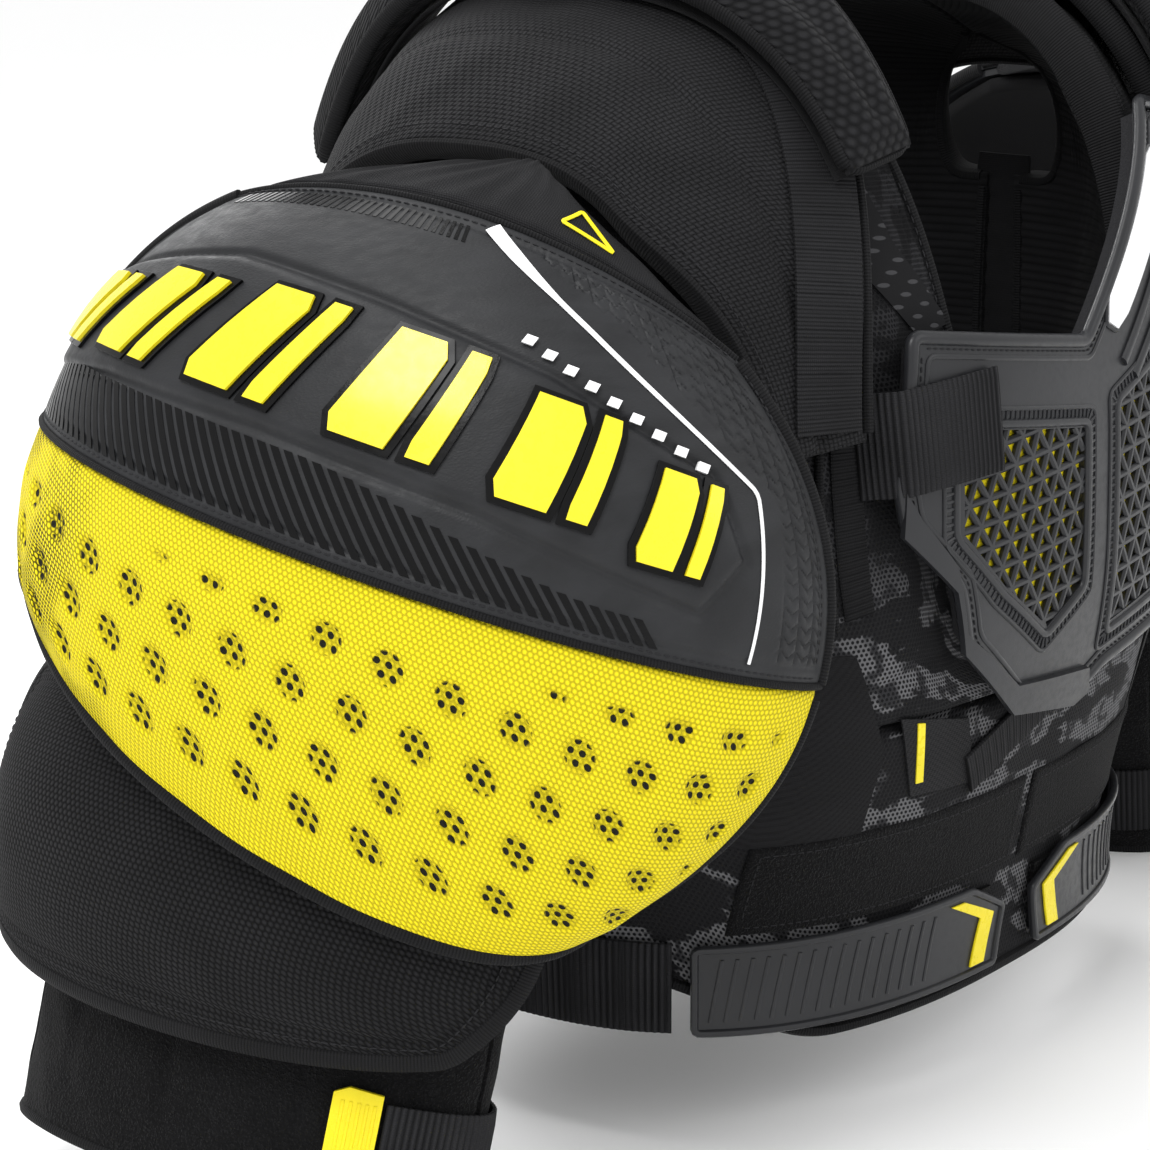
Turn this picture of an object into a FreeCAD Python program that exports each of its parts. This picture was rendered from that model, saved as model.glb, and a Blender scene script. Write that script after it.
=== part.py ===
"""Hockey shoulder pads: vest, sternum plate, shoulder caps, bicep guards and straps.

Frame: +Z up, the wearer faces -Y, the wearer's right is -X.
The origin is the centre of the trunk opening, level with the vest's lower rim.
"""
import FreeCAD
import Part
import os
from math import sin, cos, radians, pi, sqrt

V = FreeCAD.Vector

# ---- trunk: the outside of the vest (mm) ----
HALF_WIDTH_RIM = 156.0
HALF_WIDTH_CHEST = 184.0
FRONT_RIM = 106.0
FRONT_CHEST = 130.0
BACK_RIM = 100.0
BACK_CHEST = 118.0
VAULT_Z = 150.0            # above this the front and back lean in to the shoulder line
SHOULDER_Z = 362.0         # shoulder line at the middle
SHOULDER_FALL = 0.0016     # drop of the shoulder line, per mm of x squared
VAULT_S = 0.45             # share of the panel's height that is below VAULT_Z
PLAN_POWER = 2.5           # squareness of the trunk seen from above
VAULT_POWER = 2.6          # squareness of the shoulder vault seen from the side

SEW_TOLERANCE = 0.02
SAME_WAY = 1               # a ruled wall joins its two edges start to start

# ---- vest layers, as depths in from the outside ----
COVER = 2.4
FOAM_IN, FOAM_DEEP = 2.8, 12.0
LINER_IN, LINER_DEEP = 13.0, 15.0
SEAM = 0.6                 # gap between neighbouring panels
NECK_LOW = 222.0           # front neckline height at the middle
NECK_BACK = 276.0
NECK_HALF = 100.0          # half width of the neck opening at the shoulder line
STRAP_OUT = 146.0          # outer edge of the shoulder strap
ARMHOLE_LOW = 0.68         # share of the panel's height at the underarm
SIDE_PHI = 86.5            # the panels end this many degrees round the side
BELLY_S = 0.30             # seam between belly and chest panels

# ---- shoulder cap, right side: an ellipsoid ----
CAP_CENTRE = (-208.0, -2.0, 166.0)
CAP_TURN = (20.0, 8.0, 15.0)          # forward, upward and roll angles of its axis
CAP_RADII = (100.0, 142.0, 140.0)
CAP_SPAN = (82.0, 56.0, 40.0)         # half width, height up, height down, in degrees
CAP_MID = (-2.0, 3.0)
CAP_ROUND = 0.42
CAP_SKEW = -10.0

# ---- upper arm, right side ----
ARM_TOP = (-237.0, 20.0, 118.0)
ARM_OUT = 14.0                        # lean of the arm away from the trunk
ARM_BACK = 4.0
ARM_HALF = (50.0, 96.0)              # outer half depth (sideways) and half width (front to back)
ARM_FACE = 14.0                       # the guard faces this far forward
GUARD_BULGE = 16.0


def lerp(a, b, t):
    return a + (b - a) * t


def smooth(t):
    t = min(max(t, 0.0), 1.0)
    return t * t * (3 - 2 * t)


def super_radius(angle, power):
    """Radius of a unit superellipse at an angle."""
    return (abs(sin(angle)) ** power + abs(cos(angle)) ** power) ** (-1 / power)


def shoulder_z(x):
    return SHOULDER_Z - SHOULDER_FALL * x * x


def trunk_point(side, phi, s):
    """Outside of the vest. side -1 front, +1 back; phi round from the middle; s up, 0 to 1."""
    k = smooth(s / VAULT_S)
    half = lerp(HALF_WIDTH_RIM, HALF_WIDTH_CHEST, k)
    deep = lerp(FRONT_RIM, FRONT_CHEST, k) if side < 0 else lerp(BACK_RIM, BACK_CHEST, k)
    r = super_radius(phi, PLAN_POWER)
    x = half * r * sin(phi)
    y = deep * r * cos(phi)
    if s <= VAULT_S:
        return V(x, side * y, VAULT_Z * s / VAULT_S)
    psi = (s - VAULT_S) / (1 - VAULT_S) * pi / 2
    v = super_radius(psi, VAULT_POWER)
    return V(x, side * y * v * cos(psi), VAULT_Z + (shoulder_z(x) - VAULT_Z) * v * sin(psi))


def offset_point(point, u, v, off, sense):
    """A point moved off its surface along the normal, by finite differences."""
    p = point(u, v)
    if off == 0:
        return p
    h = 1e-3
    du = point(u + h, v) - point(u - h, v)
    dv = point(u, v + h) - point(u, v - h)
    n = du.cross(dv)
    n.normalize()
    return p + n * (off * sense)


def layer(point, sense, region, deep, proud, nu=22, nv=16):
    """Closed solid between two offsets of a surface, over a four-sided region.

    region(a, b) gives the surface's own two parameters for a, b in 0..1.
    """
    skins = []
    for off in (proud, deep):
        rows = []
        for i in range(nu + 1):
            row = []
            for j in range(nv + 1):
                u, v = region(i / nu, j / nv)
                row.append(offset_point(point, u, v, off, sense))
            rows.append(row)
        skin = Part.BSplineSurface()
        skin.interpolate(rows)
        skins.append(skin)
    return between(skins[0], skins[1])


def between(top, bottom):
    """Closed solid from two B-spline skins and four ruled walls."""
    faces = [top.toShape(), bottom.toShape()]
    u0, u1, v0, v1 = top.bounds()
    b0, b1, c0, c1 = bottom.bounds()
    for a, b in ((u0, b0), (u1, b1)):
        faces.append(Part.makeRuledSurface(top.uIso(a).toShape(), bottom.uIso(b).toShape(), SAME_WAY))
    for a, b in ((v0, c0), (v1, c1)):
        faces.append(Part.makeRuledSurface(top.vIso(a).toShape(), bottom.vIso(b).toShape(), SAME_WAY))
    shell = Part.makeShell(faces)
    shell.sewShape(SEW_TOLERANCE)
    if shell.ShapeType != "Shell":
        shell = shell.Shells[0]
    solid = Part.makeSolid(shell)
    if solid.Volume < 0:
        solid.reverse()
    return solid


def mirrored(shape):
    return shape.mirror(V(0, 0, 0), V(1, 0, 0))


def phi_at(x, s=1.0):
    """Angle round the trunk whose point has this |x|, at height share s."""
    low, high = 0.0, pi / 2
    for _ in range(40):
        mid = (low + high) / 2
        if trunk_point(-1, mid, s).x < abs(x):
            low = mid
        else:
            high = mid
    return low


def s_at(side, x, z):
    """Height share on the trunk at a given x and z."""
    low, high = 0.0, 1.0
    for _ in range(40):
        mid = (low + high) / 2
        if trunk_point(side, phi_at(x, mid), mid).z < z:
            low = mid
        else:
            high = mid
    return low


PHI_STRAP = phi_at(STRAP_OUT)
PHI_NECK = phi_at(NECK_HALF)
PHI_NECK_LOW = phi_at(66.0)
PHI_SIDE = radians(SIDE_PHI)
S_NECK = {-1: s_at(-1, 40, NECK_LOW), 1: s_at(1, 40, NECK_BACK)}


def top_edge(side, phi):
    """Height share of the panel's upper edge: neckline, strap, then armhole."""
    a = abs(phi)
    if a < PHI_NECK:
        t = (a - PHI_NECK_LOW) / (PHI_NECK - PHI_NECK_LOW)
        return lerp(S_NECK[side], 0.995, smooth(max(t, 0) ** 1.2))
    t = (a - PHI_STRAP) / (PHI_SIDE - PHI_STRAP)
    return lerp(0.995, ARMHOLE_LOW, smooth(max(t, 0) * 1.3))


def trunk_layer(side, phis, s_low, s_high, deep, proud, nu=30, nv=16):
    """A layer of the vest between two angles; s_high is a number or a function of phi."""
    def region(a, b):
        phi = lerp(phis[0], phis[1], a)
        high = s_high(phi) if callable(s_high) else s_high
        low = s_low(phi) if callable(s_low) else s_low
        return phi, lerp(low, high, b)

    def point(phi, s):
        return trunk_point(side, phi, s)
    return layer(point, -side, region, deep, proud, nu, nv)


# ---- vest ----
def rim_share(phi):
    """Height share of the front rim: lowest in front, rising to the sides."""
    return -0.045 + 0.075 * smooth((abs(phi) - radians(35)) / radians(30))


def vest_front():
    """Belly and chest panels, each a cover over foam, and one liner behind them all."""
    parts = {}
    belly_top = BELLY_S - SEAM / VAULT_Z * VAULT_S
    whole = (-PHI_SIDE, PHI_SIDE)
    parts["belly_cover"] = trunk_layer(-1, whole, rim_share, belly_top, -COVER, 0)
    parts["belly_foam"] = trunk_layer(-1, whole, rim_share, belly_top, -FOAM_DEEP, -FOAM_IN)

    def top(phi):
        return top_edge(-1, phi)
    half = (-PHI_SIDE, -0.004)
    for name, deep, proud in (("chest_cover", -COVER, 0), ("chest_foam", -FOAM_DEEP, -FOAM_IN)):
        right = trunk_layer(-1, half, BELLY_S, top, deep, proud, 34, 24)
        parts[name + "_right"] = right
        parts[name + "_left"] = mirrored(right)
    parts["front_liner"] = trunk_layer(-1, whole, rim_share, top, -LINER_DEEP, -LINER_IN, 60, 26)
    return parts


def vest_back():
    def top(phi):
        return top_edge(1, phi)
    whole = (-PHI_SIDE, PHI_SIDE)
    parts = {}
    for name, deep, proud in (("back_cover", -COVER, 0), ("back_foam", -FOAM_DEEP, -FOAM_IN),
                              ("back_liner", -LINER_DEEP, -LINER_IN)):
        parts[name] = trunk_layer(1, whole, 0.0, top, deep, proud, 60, 26)
    parts["spine_foam"] = trunk_layer(1, (-0.36, 0.36), 0.10, 0.62, 0.5, 9.0, 14, 14)
    parts["spine_plate"] = trunk_layer(1, (-0.30, 0.30), 0.13, 0.60, 9.8, 13.0, 14, 14)
    return parts


# ---- pieces lying on the front ----
def front_slab(deep, proud, outline):
    """Slab following the chest, cut to an outline given as (x, z) points."""
    reach = phi_at(140.0)
    slab = trunk_layer(-1, (-reach, reach), -0.1, 0.9, deep, proud, 30, 26)
    points = [V(x, -220, z) for x, z in outline]
    face = Part.Face(Part.makePolygon(points + [points[0]]))
    return slab.common(face.extrude(V(0, 190, 0)))


STERNUM = [(-100, 239), (-9, 226), (74, 297), (96, 293), (107, 250), (110, 188), (90, 156), (84, 130),
           (62, 114), (14, 106), (-5, 97), (-46, 103), (-78, 130), (-84, 152), (-106, 174), (-109, 190)]
WINDOW_RIGHT = [(-84, 206), (-12, 196), (-12, 140), (-34, 128), (-62, 148), (-84, 170)]
WINDOW_LEFT = [(12, 200), (88, 226), (92, 188), (70, 148), (60, 128), (12, 120)]
BADGE = [(6, 229), (20, 229), (72, 274), (64, 281)]
STERNUM_FOAM = (1.2, 7.0)
STERNUM_PLATE = (7.4, 11.0)
LATTICE = (7.6, 10.0)


def shrink(outline, by):
    """The outline moved in by a distance, as a polygon."""
    wire = Part.makePolygon([V(x, 0, z) for x, z in outline + [outline[0]]])
    inner = wire.makeOffset2D(-by, 2)
    return [(v.X, v.Z) for v in inner.OrderedVertexes]


def sternum():
    parts = {}
    parts["sternum_foam"] = front_slab(*STERNUM_FOAM, shrink(STERNUM, 4))
    plate = front_slab(*STERNUM_PLATE, STERNUM)
    panes = []
    for window in (WINDOW_RIGHT, WINDOW_LEFT):
        plate = plate.cut(front_slab(STERNUM_PLATE[0] - 1, STERNUM_PLATE[1] + 1, window))
        panes.append(front_slab(*LATTICE, shrink(window, 0.4)))
    parts["sternum_plate"] = plate
    parts["sternum_lattice"] = Part.makeCompound(panes)
    parts["sternum_badge"] = front_slab(STERNUM_PLATE[1] + 0.2, STERNUM_PLATE[1] + 1.6, BADGE)
    return parts


ELASTIC_X = (-66.0, -118.0)
ELASTIC_Z = (187.0, 223.0)


def rectangle(x0, x1, z0, z1):
    return [(x0, z0), (x1, z0), (x1, z1), (x0, z1)]


def sternum_elastic():
    """Ribbed elastic from the chest panel, up over the plate's edge, into its slot."""
    phis = [-phi_at(abs(x), 0.6) for x in ELASTIC_X]
    shares = [s_at(-1, 100, z) for z in ELASTIC_Z]

    def region(a, b):
        return lerp(phis[0], phis[1], a), lerp(shares[0], shares[1], b)

    def point(phi, s):
        rise = smooth((phi - phis[1]) / (phis[0] - phis[1]) * 4)
        return offset_point(lambda p, q: trunk_point(-1, p, q), phi, s, lerp(1.0, 12.4, rise), 1)
    return layer(point, 1, region, 0, 1.6, 20, 8)


def front_patches():
    parts = {}
    landing = front_slab(0.5, 1.7, rectangle(-134, -3, 28, 62))
    parts["loop_landing_right"] = landing
    parts["loop_landing_left"] = mirrored(landing)
    parts["label_patch"] = front_slab(0.5, 1.5, rectangle(-92, -62, 70, 98))
    parts["keeper_strap"] = front_slab(0.6, 2.4, rectangle(-56, 6, 68, 92))
    parts["sternum_elastic"] = sternum_elastic()
    return parts


# ---- side straps: round the waist from the back to the front ----
STRAP_Z = (-8.0, 26.0)
STRAP_TURN = (60.5, 132.0)            # degrees round from the front middle
TAB_TURN = (3.0, 57.0)


def belt_point(turn, z):
    """Outside of the vest, all the way round from the front middle (0) to the back (180)."""
    s = z / VAULT_Z * VAULT_S
    if turn <= pi / 2:
        return trunk_point(-1, turn, s)
    return trunk_point(1, pi - turn, s)


def belt(turns, heights, deep, proud, nu=26):
    def region(a, b):
        return radians(lerp(turns[0], turns[1], a)), lerp(heights[0], heights[1], b)
    return layer(belt_point, 1, region, deep, proud, nu, 4)


def side_straps():
    """Elastic fixed to the back, and the moulded tab that closes on the front."""
    parts = {}
    pieces = {"side_strap": belt(STRAP_TURN, STRAP_Z, 1.2, 3.8),
              "side_tab": belt(TAB_TURN, STRAP_Z, 2.6, 6.0),
              "side_hook": belt((TAB_TURN[0] + 3, 46.0), (STRAP_Z[0] + 4, STRAP_Z[1] - 4), 0.8, 2.2)}
    for name, piece in pieces.items():
        parts[name + "_left"] = piece
        parts[name + "_right"] = mirrored(piece)
    return parts


# ---- shoulder yoke and collar flap, right side ----
YOKE_IN, YOKE_OUT = 98.0, 188.0
YOKE_RISE = 15.0


def yoke_point(x, angle):
    """Arch over the shoulder; angle 0 at the top, negative in front."""
    k = smooth((abs(x) - 90) / 100)
    deep = lerp(130, 102, k) if angle < 0 else lerp(121, 95, k)
    top = shoulder_z(x) + YOKE_RISE - 24 * smooth((abs(x) - 158) / 44)
    v = super_radius(angle, VAULT_POWER)
    return V(x, deep * v * sin(angle), VAULT_Z + (top - VAULT_Z) * v * cos(angle))


def arch(x_in, x_out, angles, deep, proud, nu=12, nv=28):
    """Layer over the shoulder; x_in and x_out are functions of the angle in radians."""
    def region(a, b):
        angle = radians(lerp(angles[0], angles[1], b))
        return -lerp(x_out(angle), x_in(angle), a), angle
    return layer(yoke_point, 1, region, deep, proud, nu, nv)


def shoulder():
    def yoke_in(angle):
        return YOKE_IN + 26 * smooth((abs(angle) - 0.5) / 0.8)

    def yoke_out(angle):
        return YOKE_OUT - 30 * smooth((abs(angle) - 0.6) / 0.8)

    def web_in(angle):
        return yoke_in(angle) + 4

    def web_out(angle):
        return yoke_in(angle) + 30

    def collar_in(angle):
        return 91 + 8 * smooth(abs(angle) / 0.9)

    def collar_out(angle):
        return 137 - 14 * smooth(abs(angle) / 1.0)
    right = {"yoke": arch(yoke_in, yoke_out, (-74, 70), -9.0, 0),
             "yoke_webbing": arch(web_in, web_out, (-72, -12), 0.4, 1.8),
             "collar_liner": arch(collar_in, collar_out, (-50, 54), 2.4, 4.4),
             "collar_pad": arch(collar_in, collar_out, (-50, 54), 4.8, 22.0)}
    return right


# ---- shoulder cap ----
def cap_axes():
    turn, tilt, roll = [radians(v) for v in CAP_TURN]
    out = V(-cos(turn) * cos(tilt), -sin(turn) * cos(tilt), sin(tilt))
    fore = V(sin(turn), -cos(turn), 0)
    up = out.cross(fore)
    return out, fore * cos(roll) - up * sin(roll), up * cos(roll) + fore * sin(roll)


CAP_OUT, CAP_FORE, CAP_UP = cap_axes()


def cap_point(a, b):
    """Cap surface at a degrees round and b degrees up."""
    a, b = radians(a), radians(b)
    return (V(*CAP_CENTRE) + CAP_OUT * (CAP_RADII[0] * cos(b) * cos(a))
            + CAP_FORE * (CAP_RADII[1] * cos(b) * sin(a)) + CAP_UP * (CAP_RADII[2] * sin(b)))


def cap_map(p, q):
    """Rounded outline: p runs -1 to 1 from back to front, q from -1 at the hem to 1 at the top."""
    span, up, down = CAP_SPAN
    a = CAP_MID[0] + span * p * sqrt(1 - CAP_ROUND * q * q)
    b = CAP_MID[1] + (up if q > 0 else down) * q * sqrt(1 - CAP_ROUND * p * p)
    if q < 0:
        b += CAP_SKEW * p * -q
    return a, b


def cap_layer(low, high, deep, proud, nu=26, nv=16, reach=1.0):
    """Layer of the cap; low and high are shares of the height, as numbers or functions."""
    def region(a, b):
        p = lerp(-reach, reach, a)
        q0 = low(p) if callable(low) else low
        q1 = high(p) if callable(high) else high
        return cap_map(p, lerp(q0, q1, b))
    return layer(cap_point, 1, region, deep, proud, nu, nv)


MESH_FLARE = 14.0


def cap_mesh():
    """Padded mesh that bridges from the cap's hem to the bicep guard, flaring over the guard."""
    def region(a, b):
        return lerp(-1.0, 1.0, a), lerp(-1.0, -0.012, b)

    def point(p, q):
        flare = MESH_FLARE * q * q * (1 - p ** 4) * (1 + 0.9 * p)
        a, b = cap_map(p, q)
        return offset_point(cap_point, a, b, flare, 1)
    return layer(point, 1, region, -5.0, 0, 26, 14)


def shoulder_cap():
    def crown(p):
        return 1.012 + 0.42 * (1 - abs(p) ** 2.6)
    return {"cap_cover": cap_layer(0.0, 1.0, -2.4, 0),
            "cap_shell": cap_layer(0.02, 0.98, -5.6, -2.8, reach=0.97),
            "cap_foam": cap_layer(0.02, 0.98, -14.0, -6.0, reach=0.95),
            "cap_crown": cap_layer(1.012, crown, -8.0, 0.4, reach=0.95),
            "cap_mesh": cap_mesh()}


# ---- bicep guard and wrap ----
GUARD_MID = 50.0           # middle of the guard, down the arm
GUARD_HALF = 56.0
GUARD_TURN = (-86.0, 64.0)    # from the back edge to the front edge
ARM_IN = 56.0              # inner half depth, towards the trunk


def arm_axes():
    lean, back, face = radians(ARM_OUT), radians(ARM_BACK), radians(ARM_FACE)
    down = V(-sin(lean) * cos(back), sin(back), -cos(lean) * cos(back))
    out = V(-cos(lean), 0, sin(lean))
    front = out.cross(down)
    front.normalize()
    out = down.cross(front)
    return down, out * cos(face) + front * sin(face), front * cos(face) - out * sin(face)


ARM_DOWN, ARM_OUTWARD, ARM_FRONT = arm_axes()


def arm_point(turn, t):
    """Oval sleeve round the upper arm: turn in degrees from outboard to the front, t down it."""
    bulge = GUARD_BULGE * (1 - ((t - GUARD_MID) / GUARD_HALF) ** 2) if abs(t - GUARD_MID) < GUARD_HALF else 0
    turn = radians(turn)
    depth = ARM_HALF[0] if cos(turn) > 0 else ARM_IN
    return (V(*ARM_TOP) + ARM_DOWN * t + ARM_OUTWARD * ((depth + bulge) * cos(turn))
            + ARM_FRONT * ((ARM_HALF[1] + bulge) * sin(turn)))


def guard_layer(deep, proud, grow=1.0):
    def region(a, b):
        p, q = lerp(-grow, grow, a), lerp(-grow, grow, b)
        turn = lerp(GUARD_TURN[0], GUARD_TURN[1], 0.5 + 0.5 * p * sqrt(1 - 0.3 * q * q))
        return turn, GUARD_MID + GUARD_HALF * q * sqrt(1 - 0.35 * p * p)
    return layer(arm_point, -1, region, deep, proud, 26, 14)


def plain_arm_point(turn, t):
    """The same sleeve without the guard's bulge."""
    turn = radians(turn)
    depth = ARM_HALF[0] if cos(turn) > 0 else ARM_IN
    return (V(*ARM_TOP) + ARM_DOWN * t + ARM_OUTWARD * (depth * cos(turn))
            + ARM_FRONT * (ARM_HALF[1] * sin(turn)))


def sleeve(turns, lengths, deep, proud, nu=30):
    def region(a, b):
        return lerp(turns[0], turns[1], a), lerp(lengths[0], lengths[1], b)
    return layer(plain_arm_point, -1, region, deep, proud, nu, 5)


def upper_arm():
    return {"bicep_cover": guard_layer(-3.0, 0),
            "bicep_plate": guard_layer(-6.0, -3.4, 0.93),
            "bicep_foam": guard_layer(-12.0, -6.4, 0.93),
            "bicep_wrap": sleeve((-160, 168), (52, 158), -18.0, -13.0, 44),
            "bicep_strap": sleeve((42, 150), (116, 146), -12.4, -10.4),
            "bicep_tab": sleeve((28, 41), (112, 148), -12.0, -9.6, 8)}


def build():
    parts = {}
    for group in (vest_front(), vest_back(), sternum(), front_patches(), side_straps()):
        parts.update(group)
    for group in (shoulder(), shoulder_cap(), upper_arm()):
        for name, shape in group.items():
            parts[name + "_right"] = shape
            parts[name + "_left"] = mirrored(shape)
    return parts


os.makedirs("parts", exist_ok=True)
for name, shape in build().items():
    shape.exportStep("parts/" + name + ".step")
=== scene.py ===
"""Looks of the hockey shoulder pads, built as an add-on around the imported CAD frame."""
import math
import bmesh
import bpy
import numpy as np
from bpy.props import FloatProperty, FloatVectorProperty, PointerProperty
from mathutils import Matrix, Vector


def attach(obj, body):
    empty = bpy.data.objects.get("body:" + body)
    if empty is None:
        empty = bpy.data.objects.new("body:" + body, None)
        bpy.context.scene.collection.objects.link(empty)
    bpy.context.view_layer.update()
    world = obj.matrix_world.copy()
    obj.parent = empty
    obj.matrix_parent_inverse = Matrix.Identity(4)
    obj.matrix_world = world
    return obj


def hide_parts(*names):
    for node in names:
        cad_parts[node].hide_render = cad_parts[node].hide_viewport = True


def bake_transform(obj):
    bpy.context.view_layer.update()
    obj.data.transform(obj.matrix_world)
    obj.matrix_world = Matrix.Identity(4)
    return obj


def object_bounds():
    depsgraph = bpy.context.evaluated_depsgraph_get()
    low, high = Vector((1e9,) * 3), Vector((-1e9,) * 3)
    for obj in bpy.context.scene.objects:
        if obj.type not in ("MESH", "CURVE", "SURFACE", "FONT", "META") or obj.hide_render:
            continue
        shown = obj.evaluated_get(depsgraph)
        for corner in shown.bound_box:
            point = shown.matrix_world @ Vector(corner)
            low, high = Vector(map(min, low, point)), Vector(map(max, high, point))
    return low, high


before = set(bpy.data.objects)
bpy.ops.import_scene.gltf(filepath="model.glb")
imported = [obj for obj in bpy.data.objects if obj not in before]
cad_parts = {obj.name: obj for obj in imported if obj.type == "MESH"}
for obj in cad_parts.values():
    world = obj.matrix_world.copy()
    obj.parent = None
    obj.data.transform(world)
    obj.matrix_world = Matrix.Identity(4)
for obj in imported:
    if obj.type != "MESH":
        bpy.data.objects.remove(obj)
CAD_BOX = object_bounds()

bl_info = {
    "name": "Hockey shoulder pads",
    "version": (1, 0, 0),
    "blender": (4, 5, 0),
    "location": "View3D > Sidebar > Shoulder pads",
    "description": "Fabric, foam and moulded pieces of a pair of hockey shoulder pads",
    "category": "Add Mesh",
}

MM = 0.001
SIDES = (("right", 1.0), ("left", -1.0))
FLIPPED = (("left", 1.0), ("right", -1.0))

# ---- the trunk, caps and arms, in millimetres, as the frame has them ----
TRUNK_HALF = (156.0, 184.0)
TRUNK_FRONT = (106.0, 130.0)
TRUNK_BACK = (100.0, 118.0)
VAULT_Z, VAULT_S = 150.0, 0.45
SHOULDER_Z, SHOULDER_FALL = 362.0, 0.0016
PLAN_POWER, VAULT_POWER = 2.5, 2.6
SIDE_PHI = math.radians(86.5)
NECK_HALF, STRAP_OUT = 100.0, 146.0
NECK_FRONT, NECK_BACK = 222.0, 276.0
ARMHOLE_LOW = 0.68
BELLY_S = 0.30
YOKE_RISE = 15.0
CAP_CENTRE = np.array((-208.0, -2.0, 166.0))
CAP_TURN = (20.0, 8.0, 15.0)
CAP_RADII = (100.0, 142.0, 140.0)
CAP_SPAN = (82.0, 56.0, 40.0)
CAP_MID = (-2.0, 3.0)
CAP_ROUND, CAP_SKEW = 0.42, -10.0
MESH_FLARE = 14.0
ARM_TOP = np.array((-237.0, 20.0, 118.0))
ARM_LEAN = (14.0, 4.0, 14.0)
ARM_HALF, ARM_IN = (50.0, 96.0), 56.0
GUARD_MID, GUARD_HALF, GUARD_BULGE = 50.0, 56.0, 16.0
GUARD_TURN = (-86.0, 64.0)
PANEL_FACE, PANEL_BACK = 0.2, -12.4
BACK_CHANNELS = (60, 120, 180, 235)
STRAP_TURN, STRAP_Z = (60.5, 132.0), 9.0
TAB_TURN = (3.0, 57.0)
ARM_STRAP_T = 131.0
CREASE = math.radians(38)
DULL = 0.10
FUZZ = 0.105


# ---- small maths ----
def lerp(a, b, t):
    return a + (b - a) * t


def smooth(t):
    t = np.clip(t, 0.0, 1.0)
    return t * t * (3 - 2 * t)


def super_radius(angle, power):
    return (np.abs(np.sin(angle)) ** power + np.abs(np.cos(angle)) ** power) ** (-1 / power)


def stack(x, y, z):
    return np.stack(np.broadcast_arrays(x, y, z), -1)


def unit(v):
    return v / np.maximum(np.linalg.norm(v, axis=-1, keepdims=True), 1e-12)


def trunk(side):
    """Outside of the vest as a function of the angle round it and the height share."""
    def point(phi, s):
        k = smooth(s / VAULT_S)
        ends = TRUNK_FRONT if side < 0 else TRUNK_BACK
        r = super_radius(phi, PLAN_POWER)
        x = lerp(*TRUNK_HALF, k) * r * np.sin(phi)
        y = lerp(*ends, k) * r * np.cos(phi)
        psi = np.maximum(s - VAULT_S, 0) / (1 - VAULT_S) * np.pi / 2
        v = super_radius(psi, VAULT_POWER)
        low = VAULT_Z * s / VAULT_S
        top = VAULT_Z + (SHOULDER_Z - SHOULDER_FALL * x * x - VAULT_Z) * v * np.sin(psi)
        return stack(x, side * y * v * np.cos(psi), np.where(s <= VAULT_S, low, top))
    point.sense = -side
    return point


FRONT, BACK = trunk(-1), trunk(1)


def belt(turn, z):
    """Outside of the vest all the way round, from the front middle."""
    s = z / VAULT_Z * VAULT_S
    turn = np.asarray(turn, float)
    front = FRONT(np.minimum(turn, np.pi / 2), s)
    back = BACK(np.pi - np.maximum(turn, np.pi / 2), s)
    return np.where((turn <= np.pi / 2)[..., None], front, back)


belt.sense = 1


def yoke(x, angle):
    """Arch over the right shoulder; angle 0 at the top, negative in front."""
    k = smooth((np.abs(x) - 90) / 100)
    deep = np.where(angle < 0, lerp(130, 102, k), lerp(121, 95, k))
    top = SHOULDER_Z - SHOULDER_FALL * x * x + YOKE_RISE - 24 * smooth((np.abs(x) - 158) / 44)
    v = super_radius(angle, VAULT_POWER)
    return stack(x, deep * v * np.sin(angle), VAULT_Z + (top - VAULT_Z) * v * np.cos(angle))


yoke.sense = 1


def cap_axes():
    turn, tilt, roll = np.radians(CAP_TURN)
    out = np.array((-np.cos(turn) * np.cos(tilt), -np.sin(turn) * np.cos(tilt), np.sin(tilt)))
    fore = np.array((np.sin(turn), -np.cos(turn), 0.0))
    up = np.cross(out, fore)
    return out, fore * np.cos(roll) - up * np.sin(roll), up * np.cos(roll) + fore * np.sin(roll)


CAP_AXES = cap_axes()


def dome(a, b):
    a, b = np.radians(a), np.radians(b)
    out, fore, up = CAP_AXES
    return (CAP_CENTRE + out * (CAP_RADII[0] * np.cos(b) * np.cos(a))[..., None]
            + fore * (CAP_RADII[1] * np.cos(b) * np.sin(a))[..., None]
            + up * (CAP_RADII[2] * np.sin(b))[..., None])


dome.sense = 1


def cap_angles(p, q):
    """Angles on the dome for the cap's own rounded coordinates, each -1 to 1."""
    span, up, down = CAP_SPAN
    a = CAP_MID[0] + span * p * np.sqrt(np.maximum(1 - CAP_ROUND * q * q, 0.01))
    b = CAP_MID[1] + np.where(q > 0, up, down) * q * np.sqrt(1 - CAP_ROUND * p * p)
    return a, b + np.where(q < 0, CAP_SKEW * p * -q, 0)


def cap(p, q):
    """Cap surface, flaring over the guard below the seam."""
    p, q = np.broadcast_arrays(np.asarray(p, float), np.asarray(q, float))
    a, b = cap_angles(p, q)
    flare = np.where(q < 0, MESH_FLARE * q * q * (1 - p ** 4) * (1 + 0.9 * p), 0)
    return lift(dome, a, b, flare)


cap.sense = 1


def arm_axes():
    lean, back, face = np.radians(ARM_LEAN)
    down = np.array((-np.sin(lean) * np.cos(back), np.sin(back), -np.cos(lean) * np.cos(back)))
    out = np.array((-np.cos(lean), 0.0, np.sin(lean)))
    front = unit(np.cross(out, down))
    out = np.cross(down, front)
    return down, out * np.cos(face) + front * np.sin(face), front * np.cos(face) - out * np.sin(face)


ARM_AXES = arm_axes()


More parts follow.
